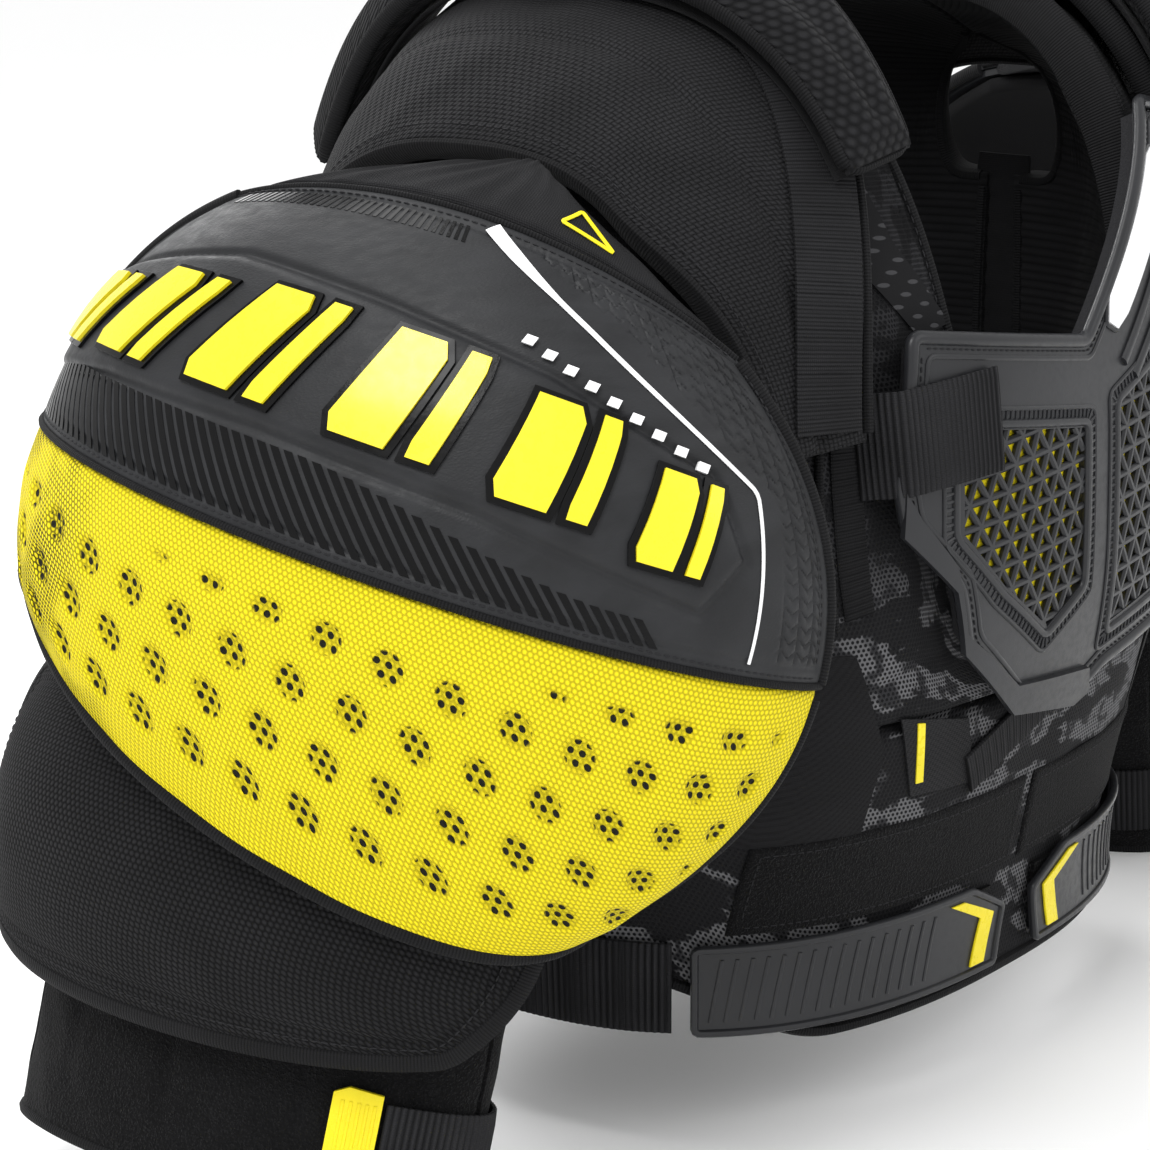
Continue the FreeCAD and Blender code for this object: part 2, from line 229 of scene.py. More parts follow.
def sleeve(turn, t, bulge=0.0):
    """Oval round the right upper arm: turn in degrees from outboard to the front, t down it."""
    turn = np.radians(turn)
    down, out, front = ARM_AXES
    depth = np.where(np.cos(turn) > 0, ARM_HALF[0], ARM_IN)
    return (ARM_TOP + down * np.asarray(t, float)[..., None]
            + out * ((depth + bulge) * np.cos(turn))[..., None]
            + front * ((ARM_HALF[1] + bulge) * np.sin(turn))[..., None])


sleeve.sense = -1


def guard(turn, t):
    """The same oval, swollen where the bicep guard is."""
    return sleeve(turn, t, GUARD_BULGE * np.maximum(1 - ((t - GUARD_MID) / GUARD_HALF) ** 2, 0))


guard.sense = -1


def normal(point, u, v):
    h = 2e-3
    du = point(u + h, v) - point(u - h, v)
    dv = point(u, v + h) - point(u, v - h)
    return unit(np.cross(du, dv)) * point.sense


def lift(point, u, v, off):
    """Points moved off a surface along its normal."""
    u, v = np.broadcast_arrays(np.asarray(u, float), np.asarray(v, float))
    return point(u, v) + normal(point, u, v) * np.asarray(off, float)[..., None]


# ---- regions shared with the frame ----
def angle_round(x, s=1.0):
    """Angle round the front whose point has this distance from the middle, at a height share."""
    low, high = np.zeros_like(x * 1.0 + s * 0.0), np.full_like(x * 1.0 + s * 0.0, np.pi / 2)
    for _ in range(30):
        mid = (low + high) / 2
        near = FRONT(mid, s)[..., 0] < np.abs(x)
        low, high = np.where(near, mid, low), np.where(near, high, mid)
    return low


def on_front(x, z, side=FRONT):
    """Angle and height share of the point of the front or back at this x and z."""
    x, z = np.broadcast_arrays(np.asarray(x, float), np.asarray(z, float))
    low, high = np.full(x.shape, -0.1), np.ones(x.shape)
    for _ in range(30):
        mid = (low + high) / 2
        below = side(angle_round(x, mid), mid)[..., 2] < z
        low, high = np.where(below, mid, low), np.where(below, high, mid)
    return np.sign(x) * angle_round(x, low), low


def chest(x, z):
    """The front of the vest as a surface over x and z."""
    return FRONT(*on_front(x, z))


chest.sense = 1
PHI_STRAP, PHI_NECK, PHI_NECK_LOW = (float(angle_round(np.float64(x))) for x in (STRAP_OUT, NECK_HALF, 66.0))
S_NECK = {-1: float(on_front(40.0, NECK_FRONT)[1]), 1: float(on_front(40.0, NECK_BACK, BACK)[1])}


def top_edge(side, phi):
    """Height share of a panel's upper edge: neckline, strap, then armhole."""
    a = np.abs(phi)
    t = np.maximum((a - PHI_NECK_LOW) / (PHI_NECK - PHI_NECK_LOW), 0)
    neck = lerp(S_NECK[side], 0.995, smooth(t ** 1.2))
    t = np.maximum((a - PHI_STRAP) / (SIDE_PHI - PHI_STRAP), 0)
    return np.where(a < PHI_NECK, neck, lerp(0.995, ARMHOLE_LOW, smooth(t * 1.3)))


def rim_share(phi):
    return -0.045 + 0.075 * smooth((np.abs(phi) - math.radians(35)) / math.radians(30))


# ---- building pieces ----
class Piece:
    """Vertices, faces and weave coordinates of one piece as it grows, in millimetres."""

    def __init__(self):
        self.co, self.weave, self.faces, self.finish = [], [], [], []
        self.count = 0

    def add(self, co, weave, faces, finish=0):
        co = np.asarray(co, float).reshape(-1, 3)
        weave = np.asarray(weave, float).reshape(len(co), -1)
        self.co.append(co)
        self.weave.append(np.pad(weave, ((0, 0), (0, 3 - weave.shape[1]))))
        self.faces += [tuple(int(i) + self.count for i in f) for f in faces]
        self.finish += [finish] * len(faces)
        self.count += len(co)

    def mesh(self, name, mirror, materials):
        co = np.concatenate(self.co) * (mirror, 1, 1) * MM
        mesh = bpy.data.meshes.new(name)
        mesh.from_pydata(co.tolist(), [], self.faces)
        mesh.polygons.foreach_set("material_index", self.finish)
        mesh.attributes.new("weave", "FLOAT_VECTOR", "POINT").data.foreach_set(
            "vector", np.concatenate(self.weave).astype(np.float32).ravel())
        for material in materials:
            mesh.materials.append(fabric(material))
        bm = bmesh.new()
        bm.from_mesh(mesh)
        bmesh.ops.recalc_face_normals(bm, faces=bm.faces)
        bm.to_mesh(mesh)
        bm.free()
        mesh.polygons.foreach_set("use_smooth", [True] * len(mesh.polygons))
        mesh.set_sharp_from_angle(angle=CREASE)
        return mesh


def grid_faces(nu, nv, wrap=False):
    faces = []
    for i in range(nu - 1):
        for j in range(nv if wrap else nv - 1):
            k = (j + 1) % nv
            faces.append((i * nv + j, (i + 1) * nv + j, (i + 1) * nv + k, i * nv + k))
    return faces


def arc_lengths(points, axis):
    step = np.linalg.norm(np.diff(points, axis=axis), axis=-1)
    total = np.cumsum(step, axis=axis)
    zero = np.zeros_like(np.take(total, [0], axis=axis))
    return np.concatenate((zero, total), axis=axis)


def shell(piece, outer, inner, weave, inside=0):
    """Closed sheet between two equal grids of points; inside is the finish of the inner one."""
    nu, nv = outer.shape[:2]
    start, gap = piece.count, nu * nv
    piece.add(outer, weave, grid_faces(nu, nv))
    piece.add(inner, weave, grid_faces(nu, nv), inside)
    rim = ([(i, 0) for i in range(nu)] + [(nu - 1, j) for j in range(1, nv)]
           + [(i, nv - 1) for i in range(nu - 2, -1, -1)] + [(0, j) for j in range(nv - 2, 0, -1)])
    ids = [start + i * nv + j for i, j in rim]
    piece.faces += [(a, b, b + gap, a + gap) for a, b in zip(ids, ids[1:] + ids[:1])]
    piece.finish += [0] * len(ids)


def slab(piece, point, u, v, top, bottom, inside=0):
    """Closed sheet of cloth, foam or plastic between two offsets of a surface, over a grid."""
    outer, inner = lift(point, u, v, top), lift(point, u, v, bottom)
    along, across = arc_lengths(outer, 0), arc_lengths(outer, 1)
    middle = along[len(along) // 2].mean()
    shell(piece, outer, inner, np.stack((along - middle, across), -1), inside)


def cells(region, nu, nv, ease=0.7):
    """Grid over a four-sided region, with closer lines near its edges."""
    a, b = np.meshgrid(np.linspace(0, 1, nu), np.linspace(0, 1, nv), indexing="ij")
    a, b = (lerp(t, 0.5 - 0.5 * np.cos(np.pi * t), ease) for t in (a, b))
    return region(a, b)


def edge_gap(point, u, v):
    """Distance in from the nearest edge of a grid, in millimetres."""
    p = point(u, v)
    along, across = arc_lengths(p, 0), arc_lengths(p, 1)
    return np.minimum(np.minimum(along, along[-1] - along), np.minimum(across, across[:, -1:] - across))


def rounded(gap, radius):
    """Share of the full thickness at a distance in from an edge, for a rounded rim."""
    t = np.clip(gap / radius, 0, 1)
    return np.sqrt(np.clip(1 - (1 - t) ** 2, 0.02, 1))


def ripple(u, v, pitch):
    """Soft uneven waves, about -1 to 1, for cloth that puckers."""
    a, b = u / pitch, v / pitch
    slow = np.sin(6.1 * a + 2.3 * np.sin(3.7 * b)) * np.sin(5.3 * b + 1.7 * np.sin(2.9 * a))
    return (slow + 0.5 * np.sin(11.3 * a - 7.9 * b)) / 1.5


def pad(piece, point, region, size, top, bottom, rim=6.0, wave=0.0, pitch=60.0, dent=None):
    """Padded panel with rounded edges; dent(u, v) lowers its face where seams and channels run."""
    u, v = cells(region, *size)
    share = rounded(edge_gap(point, u, v), rim)
    middle = (top + bottom) / 2
    flat = point(u, v)
    waves = ripple(arc_lengths(flat, 0), arc_lengths(flat, 1), pitch)
    face = middle + (top - middle) * share + wave * waves * share
    if dent is not None:
        face = face - dent(u, v) * share
    slab(piece, point, u, v, face, middle + (bottom - middle) * share)


def sweep(piece, points, normals, wide, deep, power=2.0, around=10, closed=False, finish=0, ribs=None):
    """Tube or tape of a rounded section along a line; wide and deep are half sizes."""
    points, n = np.asarray(points), len(points)
    if closed:
        tangent = np.roll(points, -1, 0) - np.roll(points, 1, 0)
    else:
        tangent = np.gradient(points, axis=0)
    side = unit(np.cross(unit(tangent), normals))
    up = unit(np.cross(side, tangent))
    turn = np.linspace(0, 2 * np.pi, around, endpoint=False) + np.pi / around
    r = super_radius(turn, power)
    length = arc_lengths(points, 0)
    swell = np.ones(n)
    if ribs:
        swell = 1 + ribs[1] * np.sin(2 * np.pi * length / ribs[0])
    deep = np.broadcast_to(deep, n) * swell
    wide = np.broadcast_to(wide, n)
    ring = (points[:, None] + side[:, None] * (wide[:, None] * r * np.cos(turn))[..., None]
            + up[:, None] * (deep[:, None] * r * np.sin(turn))[..., None])
    girth = np.broadcast_to(wide[:, None] * np.cos(turn) * r, (n, around))
    weave = np.stack((np.broadcast_to(length[:, None], (n, around)), girth), -1)
    faces = grid_faces(n, around, wrap=True)
    if closed:
        last = (n - 1) * around
        faces += [(last + j, j, (j + 1) % around, last + (j + 1) % around) for j in range(around)]
    else:
        faces += [tuple(range(around)), tuple(range((n - 1) * around, n * around))]
    piece.add(ring, weave.reshape(-1, 2), faces, finish)


def line(point, corners, off=0.0, step=2.0, soft=0.0, closed=False):
    """Evenly spaced points and normals along a line of corners on a surface."""
    corners = [np.asarray(c, float) for c in corners]
    if closed:
        corners = corners + corners[:1]
    t = np.linspace(0, 1, 40, endpoint=False)[:, None]
    uv = np.concatenate([a + (b - a) * t for a, b in zip(corners, corners[1:])] + [corners[-1][None]])
    rough = arc_lengths(point(uv[:, 0], uv[:, 1]), 0)
    count = max(int(rough[-1] / step), 3) + 1
    at = np.linspace(0, rough[-1], count)
    uv = np.stack([np.interp(at, rough, uv[:, k]) for k in (0, 1)], -1)
    if closed:
        uv = uv[:-1]
    width = int(soft / step)
    if width > 0:
        ends = "wrap" if closed else "edge"
        even = np.ones(2 * width + 1) / (2 * width + 1)
        uv = np.stack([np.convolve(np.pad(uv[:, k], width, mode=ends), even, "valid") for k in (0, 1)], -1)
    facing = normal(point, uv[:, 0], uv[:, 1])
    return point(uv[:, 0], uv[:, 1]) + facing * off, facing


def stitches(piece, points, normals, pitch=4.0, length=2.6, radius=0.32, finish=0):
    """A row of short thread dashes along a line."""
    run = arc_lengths(points, 0)
    for start in np.arange(pitch / 2, run[-1] - length, pitch):
        at = start + np.linspace(0, length, 4)
        p = np.stack([np.interp(at, run, points[:, k]) for k in range(3)], -1)
        n = np.stack([np.interp(at, run, normals[:, k]) for k in range(3)], -1)
        bow = np.array((0.15, 1.0, 1.0, 0.15))
        sweep(piece, p, n, radius * (0.4 + 0.6 * bow), radius * bow, around=5, finish=finish)


def inlay(piece, point, outline, step, low, high, finish=0):
    """Flat shape wrapped on a surface: its outline is in the surface's own two parameters."""
    bm = bmesh.new()
    bm.faces.new([bm.verts.new((a, b, 0)) for a, b in outline])
    corners = np.array(outline, float)
    for axis in (0, 1):
        way = Vector((axis == 0, axis == 1, 0))
        for cut in np.arange(corners[:, axis].min() + step[axis], corners[:, axis].max() - 1e-6, step[axis]):
            bmesh.ops.bisect_plane(bm, geom=bm.verts[:] + bm.edges[:] + bm.faces[:], dist=1e-7,
                                   plane_co=way * float(cut), plane_no=way)
    bm.verts.index_update()
    uv = np.array([v.co[:2] for v in bm.verts])
    n = len(uv)
    faces = [[v.index for v in f.verts] for f in bm.faces]
    faces += [[i + n for i in f] for f in faces]
    faces += [(e.verts[0].index, e.verts[1].index, e.verts[1].index + n, e.verts[0].index + n)
              for e in bm.edges if len(e.link_faces) == 1]
    bm.free()
    both = [lift(point, uv[:, 0], uv[:, 1], np.full(n, off)) for off in (high, low)]
    flat = both[0] @ np.array(((0.6, 0.0), (0.8, 0.0), (0.0, 1.0)))
    piece.add(np.concatenate(both), np.concatenate((flat, flat)), faces, finish)


def place(piece, name, body, materials, replaces=(), bevel=0.0, both=True, sides=SIDES):
    """Puts a piece into the scene on the right and, mirrored, on the left.

    The body is a name, to which the piece is attached; two names with the ends of a blend between them are
    not used, and the piece is then left unattached.
    """
    for side, mirror in (sides if both else (("", 1.0),)):
        label = name + ("_" + side if side else "")
        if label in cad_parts:
            label = "made_" + label
        obj = bpy.data.objects.new(label, piece.mesh(label, mirror, materials))
        bpy.context.scene.collection.objects.link(obj)
        if bevel:
            rim = obj.modifiers.new("edge", "BEVEL")
            rim.width, rim.segments, rim.limit_method = bevel * MM, 2, "ANGLE"
        if isinstance(body, str):
            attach(obj, body.format(side))
        else:
            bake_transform(obj)
        if replaces:
            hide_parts(*[node.format(side) for node in replaces])


# ---- finishes ----
class Finish:
    """One material, built up from plain steps; its height field ends in a bump."""

    def __init__(self, name, colour, rough, sheen, coat, coords, glint):
        self.material = bpy.data.materials.new(name)
        self.material.use_nodes = True
        self.tree = self.material.node_tree
        self.shader = self.tree.nodes["Principled BSDF"]
        self.shader.inputs["Base Color"].default_value = (*colour, 1)
        self.shader.inputs["Roughness"].default_value = rough
        self.shader.inputs["Sheen Weight"].default_value = sheen * 0.12
        self.shader.inputs["Specular IOR Level"].default_value = glint
        self.shader.inputs["Sheen Roughness"].default_value = 0.5
        self.shader.inputs["Coat Weight"].default_value = coat
        self.shader.inputs["Coat Roughness"].default_value = 0.12
        if coords == "weave":
            self.at = self.node("ShaderNodeAttribute", attribute_name="weave").outputs["Vector"]
        else:
            spot = self.node("ShaderNodeTexCoord").outputs["Object"]
            self.at = self.vector("SCALE", spot, scale=1000.0)

    def node(self, kind, **settings):
        node = self.tree.nodes.new(kind)
        for key, value in settings.items():
            setattr(node, key, value)
        return node

    def put(self, socket, value):
        if isinstance(value, (int, float, tuple)):
            socket.default_value = value
        else:
            self.tree.links.new(value, socket)

    def math(self, operation, a, b=None, c=None):
        node = self.node("ShaderNodeMath", operation=operation)
        for socket, value in zip(node.inputs, (a, b, c)):
            if value is not None:
                self.put(socket, value)
        return node.outputs[0]

    def vector(self, operation, a, b=None, scale=None):
        node = self.node("ShaderNodeVectorMath", operation=operation)
        self.put(node.inputs[0], a)
        if b is not None:
            self.put(node.inputs[1], b)
        if scale is not None:
            node.inputs["Scale"].default_value = scale
        return node.outputs["Value" if operation in ("LENGTH", "DOT_PRODUCT") else "Vector"]

    def split(self, vector):
        node = self.node("ShaderNodeSeparateXYZ")
        self.put(node.inputs[0], vector)
        return node.outputs[0], node.outputs[1], node.outputs[2]

    def noise(self, scale, detail=2.0, at=None):
        node = self.node("ShaderNodeTexNoise")
        node.inputs["Scale"].default_value = scale
        node.inputs["Detail"].default_value = detail
        self.put(node.inputs["Vector"], at or self.at)
        return node.outputs["Fac"]

    def grain(self, scale, at=None):
        node = self.node("ShaderNodeTexVoronoi")
        node.inputs["Scale"].default_value = scale
        self.put(node.inputs["Vector"], at or self.at)
        return node.outputs["Distance"]

    def ramp(self, value, low, high, to_low=0.0, to_high=1.0):
        node = self.node("ShaderNodeMapRange", clamp=True, interpolation_type="SMOOTHSTEP")
        for socket, number in zip(node.inputs[1:5], (low, high, to_low, to_high)):
            socket.default_value = number
        self.put(node.inputs[0], value)
        return node.outputs[0]

    def mix(self, share, a, b):
        node = self.node("ShaderNodeMix", data_type="RGBA")
        self.put(node.inputs[0], share)
        for socket, value in zip(node.inputs[6:8], (a, b)):
            self.put(socket, (*value, 1) if isinstance(value, tuple) and len(value) == 3 else value)
        return node.outputs[2]

    def cell(self, across, along, shift=0.0):
        """Distance from the nearest point of a rectangular lattice."""
        v = self.vector("MULTIPLY", self.at, (1 / across, 1 / along, 0.0))
        v = self.vector("ADD", v, (shift, shift, 0.0))
        v = self.vector("SUBTRACT", self.vector("FRACTION", v), (0.5, 0.5, 0.5))
        return self.vector("LENGTH", self.vector("MULTIPLY", v, (across, along, 0.0)))

    def hexes(self, pitch):
        """Distance from the nearest point of a staggered lattice."""
        return self.math("MINIMUM", self.cell(pitch, pitch * 1.732), self.cell(pitch, pitch * 1.732, 0.5))

    def ribs(self, pitch, axis=0):
        share = self.math("MULTIPLY", self.split(self.at)[axis], math.pi / pitch)
        return self.math("ABSOLUTE", self.math("SINE", share))

    def threads(self, pitch):
        """Over-and-under weave: height of the thread on top."""
        u, v, _ = self.split(self.at)
        cell_u, cell_v = (self.math("FLOOR", self.math("DIVIDE", t, pitch)) for t in (u, v))
        over = self.math("ABSOLUTE", self.math("MODULO", self.math("ADD", cell_u, cell_v), 2.0))
        a, b = self.ribs(pitch, 0), self.ribs(pitch, 1)
        warp = self.math("MULTIPLY", b, self.math("ADD", 0.6, self.math("MULTIPLY", a, 0.4)))
        weft = self.math("MULTIPLY", a, self.math("ADD", 0.6, self.math("MULTIPLY", b, 0.4)))
        keep = self.math("SUBTRACT", 1.0, over)
        return self.math("ADD", self.math("MULTIPLY", warp, over), self.math("MULTIPLY", weft, keep))

    def colour(self, value):
        self.put(self.shader.inputs["Base Color"], value)

    def rough(self, value):
        self.put(self.shader.inputs["Roughness"], value)

    def bump(self, *heights):
        """Heights are (field, depth in mm), one on another."""
        below = None
        for field, depth in heights:
            node = self.node("ShaderNodeBump")
            node.inputs["Strength"].default_value = 1.0
            node.inputs["Distance"].default_value = depth * MM
            self.put(node.inputs["Height"], field)
            if below is not None:
                self.put(node.inputs["Normal"], below)
            below = node.outputs["Normal"]
        self.put(self.shader.inputs["Normal"], below)


def shade(colour, factor):
    return tuple(min(c * factor, 1.0) for c in colour[:3])


def leather(f, c):
    wear = f.noise(0.05, 4)
    f.colour(f.mix(f.ramp(wear, 0.35, 0.7), shade(c.leather, 0.85), shade(c.leather, 1.25)))
    f.rough(f.ramp(f.noise(0.2, 3), 0.3, 0.7, 0.42, 0.56))
    f.bump((f.grain(1.1), 0.05), (f.noise(2.4, 3), 0.05))


def gloss_dark(f, c):
    f.rough(f.ramp(f.noise(0.15, 2), 0.3, 0.7, 0.14, 0.26))
    f.bump((f.noise(0.8, 2), 0.03))


def yellow_film(f, c):
    f.colour(f.mix(f.ramp(f.noise(0.04, 2), 0.3, 0.7), shade(c.yellow, 0.92), shade(c.yellow, 1.04)))
    f.rough(f.ramp(f.noise(0.3, 2), 0.3, 0.7, 0.24, 0.34))
    f.bump((f.noise(1.0, 2), 0.02))


def yellow_mesh(f, c):
    knit = f.hexes(1.9)
    deep = f.split(f.at)[2]
    holes = f.math("MULTIPLY", f.ramp(f.hexes(4.0), 0.95, 1.25, 1.0, 0.0), f.ramp(deep, 0.30, 0.55))
    pores = f.math("MULTIPLY", f.math("MULTIPLY", f.ramp(f.noise(0.03, 3), 0.42, 0.6),
                                          f.ramp(f.split(f.at)[0], -70.0, -115.0)), f.ramp(knit, 0.7, 1.0))
    dark = f.math("MAXIMUM", holes, f.math("MULTIPLY", pores, 0.85))
    # painted shade: the yellow darkens to half between the knit's cells, where the bump sinks
    soft = f.mix(f.ramp(knit, 0.45, 1.05), shade(c.yellow, 1.0), shade(c.yellow, 0.50))
    # painted shade: inside the dimples the colour is darkened towards 0.45 of the yellow
    low = f.mix(f.ramp(deep, 0.0, 0.8), soft, f.mix(0.5, soft, shade(c.yellow, 0.45)))
    f.colour(f.mix(dark, low, (0.01, 0.01, 0.008)))
    f.rough(0.62)
    f.bump((f.ramp(knit, 0.3, 1.05, 1.0, 0.0), 0.4), (f.math("SUBTRACT", 1.0, dark), 0.5))


def cloth(f, height, depth, low=0.45):
    """Common to the dark fabrics: painted shade that darkens the hollows below the crowns, uneven dye and a
    fine fuzz.
    """
    base = f.shader.inputs["Base Color"].default_value[:3]
    uneven = f.noise(0.03, 3)
    tone = f.mix(f.ramp(uneven, 0.3, 0.7), shade(base, 0.88), shade(base, 1.18))
    # painted shade: where the height field is low, the colour is mixed towards black by the share low
    f.colour(f.mix(height, f.mix(low, (0.0, 0.0, 0.0), tone), tone))
    f.bump((f.noise(1.6, 3), FUZZ), (height, depth))


def ribbed(f, pitch, axis, fine, share):
    """Ribs one way, with finer and fainter ones across them."""
    across = f.math("MULTIPLY", f.ribs(fine, 1 - axis), share)
    return f.math("MULTIPLY", f.ribs(pitch, axis), f.math("ADD", 1 - share, across))


def dark_mesh(f, c):
    """Open mesh with lighter patches that fade out up the chest."""
    base = f.shader.inputs["Base Color"].default_value[:3]
    height = f.split(f.vector("SCALE", f.node("ShaderNodeTexCoord").outputs["Object"], scale=1000.0))[2]
    flow = f.noise(0.022, 5, f.vector("MULTIPLY", f.at, (1.0, 2.2, 1.0)))
    patch = f.ramp(flow, 0.48, 0.505)
    light = f.math("MULTIPLY", patch, f.ramp(f.noise(0.09, 2), 0.42, 0.5))
    light = f.math("MULTIPLY", light, f.ramp(height, 175.0, 120.0))
    hole = f.ramp(f.hexes(2.0), 0.45, 0.75, 1.0, 0.0)
    strand = f.mix(light, f.mix(patch, shade(base, 0.8), shade(base, 1.9)), (0.11, 0.11, 0.115))
    f.colour(f.mix(hole, strand, (0.006, 0.006, 0.007)))
    f.bump((f.noise(1.2, 2), 0.06), (f.math("SUBTRACT", 1.0, hole), 0.3))


def dotted_mesh(f, c):
    hole = f.ramp(f.hexes(4.4), 0.7, 0.95, 1.0, 0.0)
    base = f.shader.inputs["Base Color"].default_value[:3]
    f.colour(f.mix(hole, base, (0.045, 0.045, 0.048)))
    f.bump((f.noise(1.5, 2), 0.08), (f.math("SUBTRACT", 1.0, hole), 0.35))


def jersey(f, c):
    cloth(f, ribbed(f, 3.4, 1, 0.9, 0.3), 0.45)


def smooth_jersey(f, c):
    cloth(f, f.threads(0.7), 0.12)


def ballistic(f, c):
    cloth(f, f.threads(1.7), 0.5, 0.15)


def fine_weave(f, c):
    cloth(f, f.threads(0.85), 0.2, 0.35)


def knit(f, c):
    cloth(f, f.ramp(f.hexes(2.2), 0.2, 1.2, 1.0, 0.0), 0.55, 0.15)


def honeycomb(f, c):
    cloth(f, f.ramp(f.hexes(4.2), 0.5, 2.3, 1.0, 0.0), 0.8, 0.4)


def webbing(f, c):
    cloth(f, ribbed(f, 1.3, 0, 0.8, 0.4), 0.35, 0.35)


def elastic(f, c):
    cloth(f, ribbed(f, 2.3, 0, 0.8, 0.25), 0.5, 0.3)


def fleece(f, c):
    curl = f.ramp(f.noise(0.9, 5), 0.3, 0.7)
    cloth(f, f.math("MULTIPLY", curl, f.ramp(f.grain(1.3), 0.0, 0.7, 1.0, 0.3)), 0.7, 0.3)


def hook_tape(f, c):
    cloth(f, f.ramp(f.hexes(1.6), 0.2, 0.6, 1.0, 0.0), 0.6, 0.3)


def moulded(f, c):
    f.colour(f.mix(f.ramp(f.noise(0.02, 3), 0.3, 0.7), shade(c.plastic, 0.9), shade(c.plastic, 1.15)))
    f.rough(f.ramp(f.noise(0.4, 4), 0.3, 0.75, 0.28, 0.42))
    f.bump((f.noise(2.2, 3), 0.035))


def foam(f, c):
    base = f.shader.inputs["Base Color"].default_value[:3]
    f.colour(f.mix(f.ramp(f.noise(1.2, 3), 0.35, 0.7), shade(base, 0.8), shade(base, 1.1)))
    f.bump((f.grain(1.5), 0.15), (f.noise(0.5, 2), 0.1))


def white_film(f, c):
    f.rough(f.ramp(f.noise(0.3, 2), 0.3, 0.7, 0.25, 0.4))
    f.bump((f.noise(0.9, 2), 0.015))


def tape(f, c):
    cloth(f, ribbed(f, 1.1, 0, 0.7, 0.3), 0.25, 0.35)


def thread(f, c):
    f.bump((f.ribs(0.5, 0), 0.1))


# each finish: its maker, colour, shade of the colour, roughness, sheen, coat and coordinates
FINISHES = {
    "leather": (leather, "leather", 0.95, 0.5, 0.0, 0.0, "weave"),
    "gloss_dark": (gloss_dark, "gloss", 0.6, 0.2, 0.0, 0.0, "object"),
    "yellow_film": (yellow_film, "yellow", 0.86, 0.28, 0.0, 0.25, "object"),
    "yellow_rubber": (yellow_film, "yellow", 0.85, 0.4, 0.0, 0.0, "object"),
    "yellow_mesh": (yellow_mesh, "yellow", 1.0, 0.62, 0.15, 0.0, "weave"),
    "yellow_foam": (foam, "yellow", 0.9, 0.8, 0.1, 0.0, "object"),
    "dark_mesh": (dark_mesh, "fabric", 1.0, 0.8, 0.1, 0.0, "weave"),
    "dotted_mesh": (dotted_mesh, "fabric", 0.8, 0.8, 0.1, 0.0, "weave"),
    "jersey": (jersey, "fabric", 0.9, 0.9, 0.25, 0.0, "weave"),
    "smooth_jersey": (smooth_jersey, "fabric", 0.85, 0.88, 0.25, 0.0, "weave"),
    "ballistic": (ballistic, "fabric", 1.5, 0.72, 0.12, 0.0, "weave"),
    "fine_weave": (fine_weave, "fabric", 1.5, 0.74, 0.12, 0.0, "weave"),
    "knit": (knit, "fabric", 1.3, 0.84, 0.2, 0.0, "weave"),
    "honeycomb": (honeycomb, "fabric", 1.3, 0.84, 0.2, 0.0, "weave"),
    "webbing": (webbing, "fabric", 1.5, 0.7, 0.12, 0.0, "weave"),
    "elastic": (elastic, "fabric", 1.7, 0.75, 0.12, 0.0, "weave"),
    "fleece": (fleece, "fabric", 0.8, 0.95, 0.3, 0.0, "object"),
    "hook_tape": (hook_tape, "fabric", 0.8, 0.6, 0.0, 0.0, "weave"),
    "tape": (tape, "fabric", 0.85, 0.72, 0.12, 0.0, "weave"),
    "thread": (thread, "fabric", 1.8, 0.6, 0.1, 0.0, "weave"),
    "moulded": (moulded, "plastic", 0.95, 0.34, 0.0, 0.04, "object"),
    "foam": (foam, "fabric", 1.6, 0.85, 0.0, 0.0, "object"),
    "white_film": (white_film, "white", 1.0, 0.32, 0.0, 0.3, "object"),
    "shell": (moulded, "plastic", 1.4, 0.4, 0.0, 0.0, "object"),
}


GLINTS = {"leather": 0.22, "gloss_dark": 0.16, "yellow_film": 0.4, "yellow_rubber": 0.25, "moulded": 0.26,
          "shell": 0.26, "white_film": 0.4}


def fabric(name):
    """The named finish, made the first time that a piece asks for it."""
    label = "pads_" + name
    found = bpy.data.materials.get(label)
    if found:
        return found
    build, tint, factor, rough, sheen, coat, coords = FINISHES[name]
    colours = bpy.context.scene.pad_colours
    glint = GLINTS.get(name, DULL)
    finish = Finish(label, shade(getattr(colours, tint), factor), rough, sheen, coat, coords, glint)
    build(finish, colours)
    return finish.material


def dress(node, name):
    """Gives a CAD piece its finish."""
    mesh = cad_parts[node].data
    mesh.materials.clear()
    mesh.materials.append(fabric(name))


# ---- the vest ----
def between(phis, low, high):
    def region(a, b):
        phi = lerp(*phis, a)
        bottom = low(phi) if callable(low) else low
        top = high(phi) if callable(high) else high
        return phi, lerp(bottom, top, b)
    return region


def front_top(phi):
    return top_edge(-1, phi)


def back_top(phi):
    return top_edge(1, phi)


def edge_path(phis, heights, count):
    """Line along a panel's edge, for line()."""
    phi = np.linspace(*phis, count)
    return np.stack((phi, heights(phi) * np.ones(count)), -1)


def binding(piece, side, path):
    """Cloth tape folded over a panel's raw edge."""
    points, facing = line(side, path, -7.2, 2.5, 6.0)
    sweep(piece, points, facing, 3.0, 8.6, 2.6, 14)


def groove(gap, width, depth):
    return depth * np.exp(-(gap / width) ** 2)


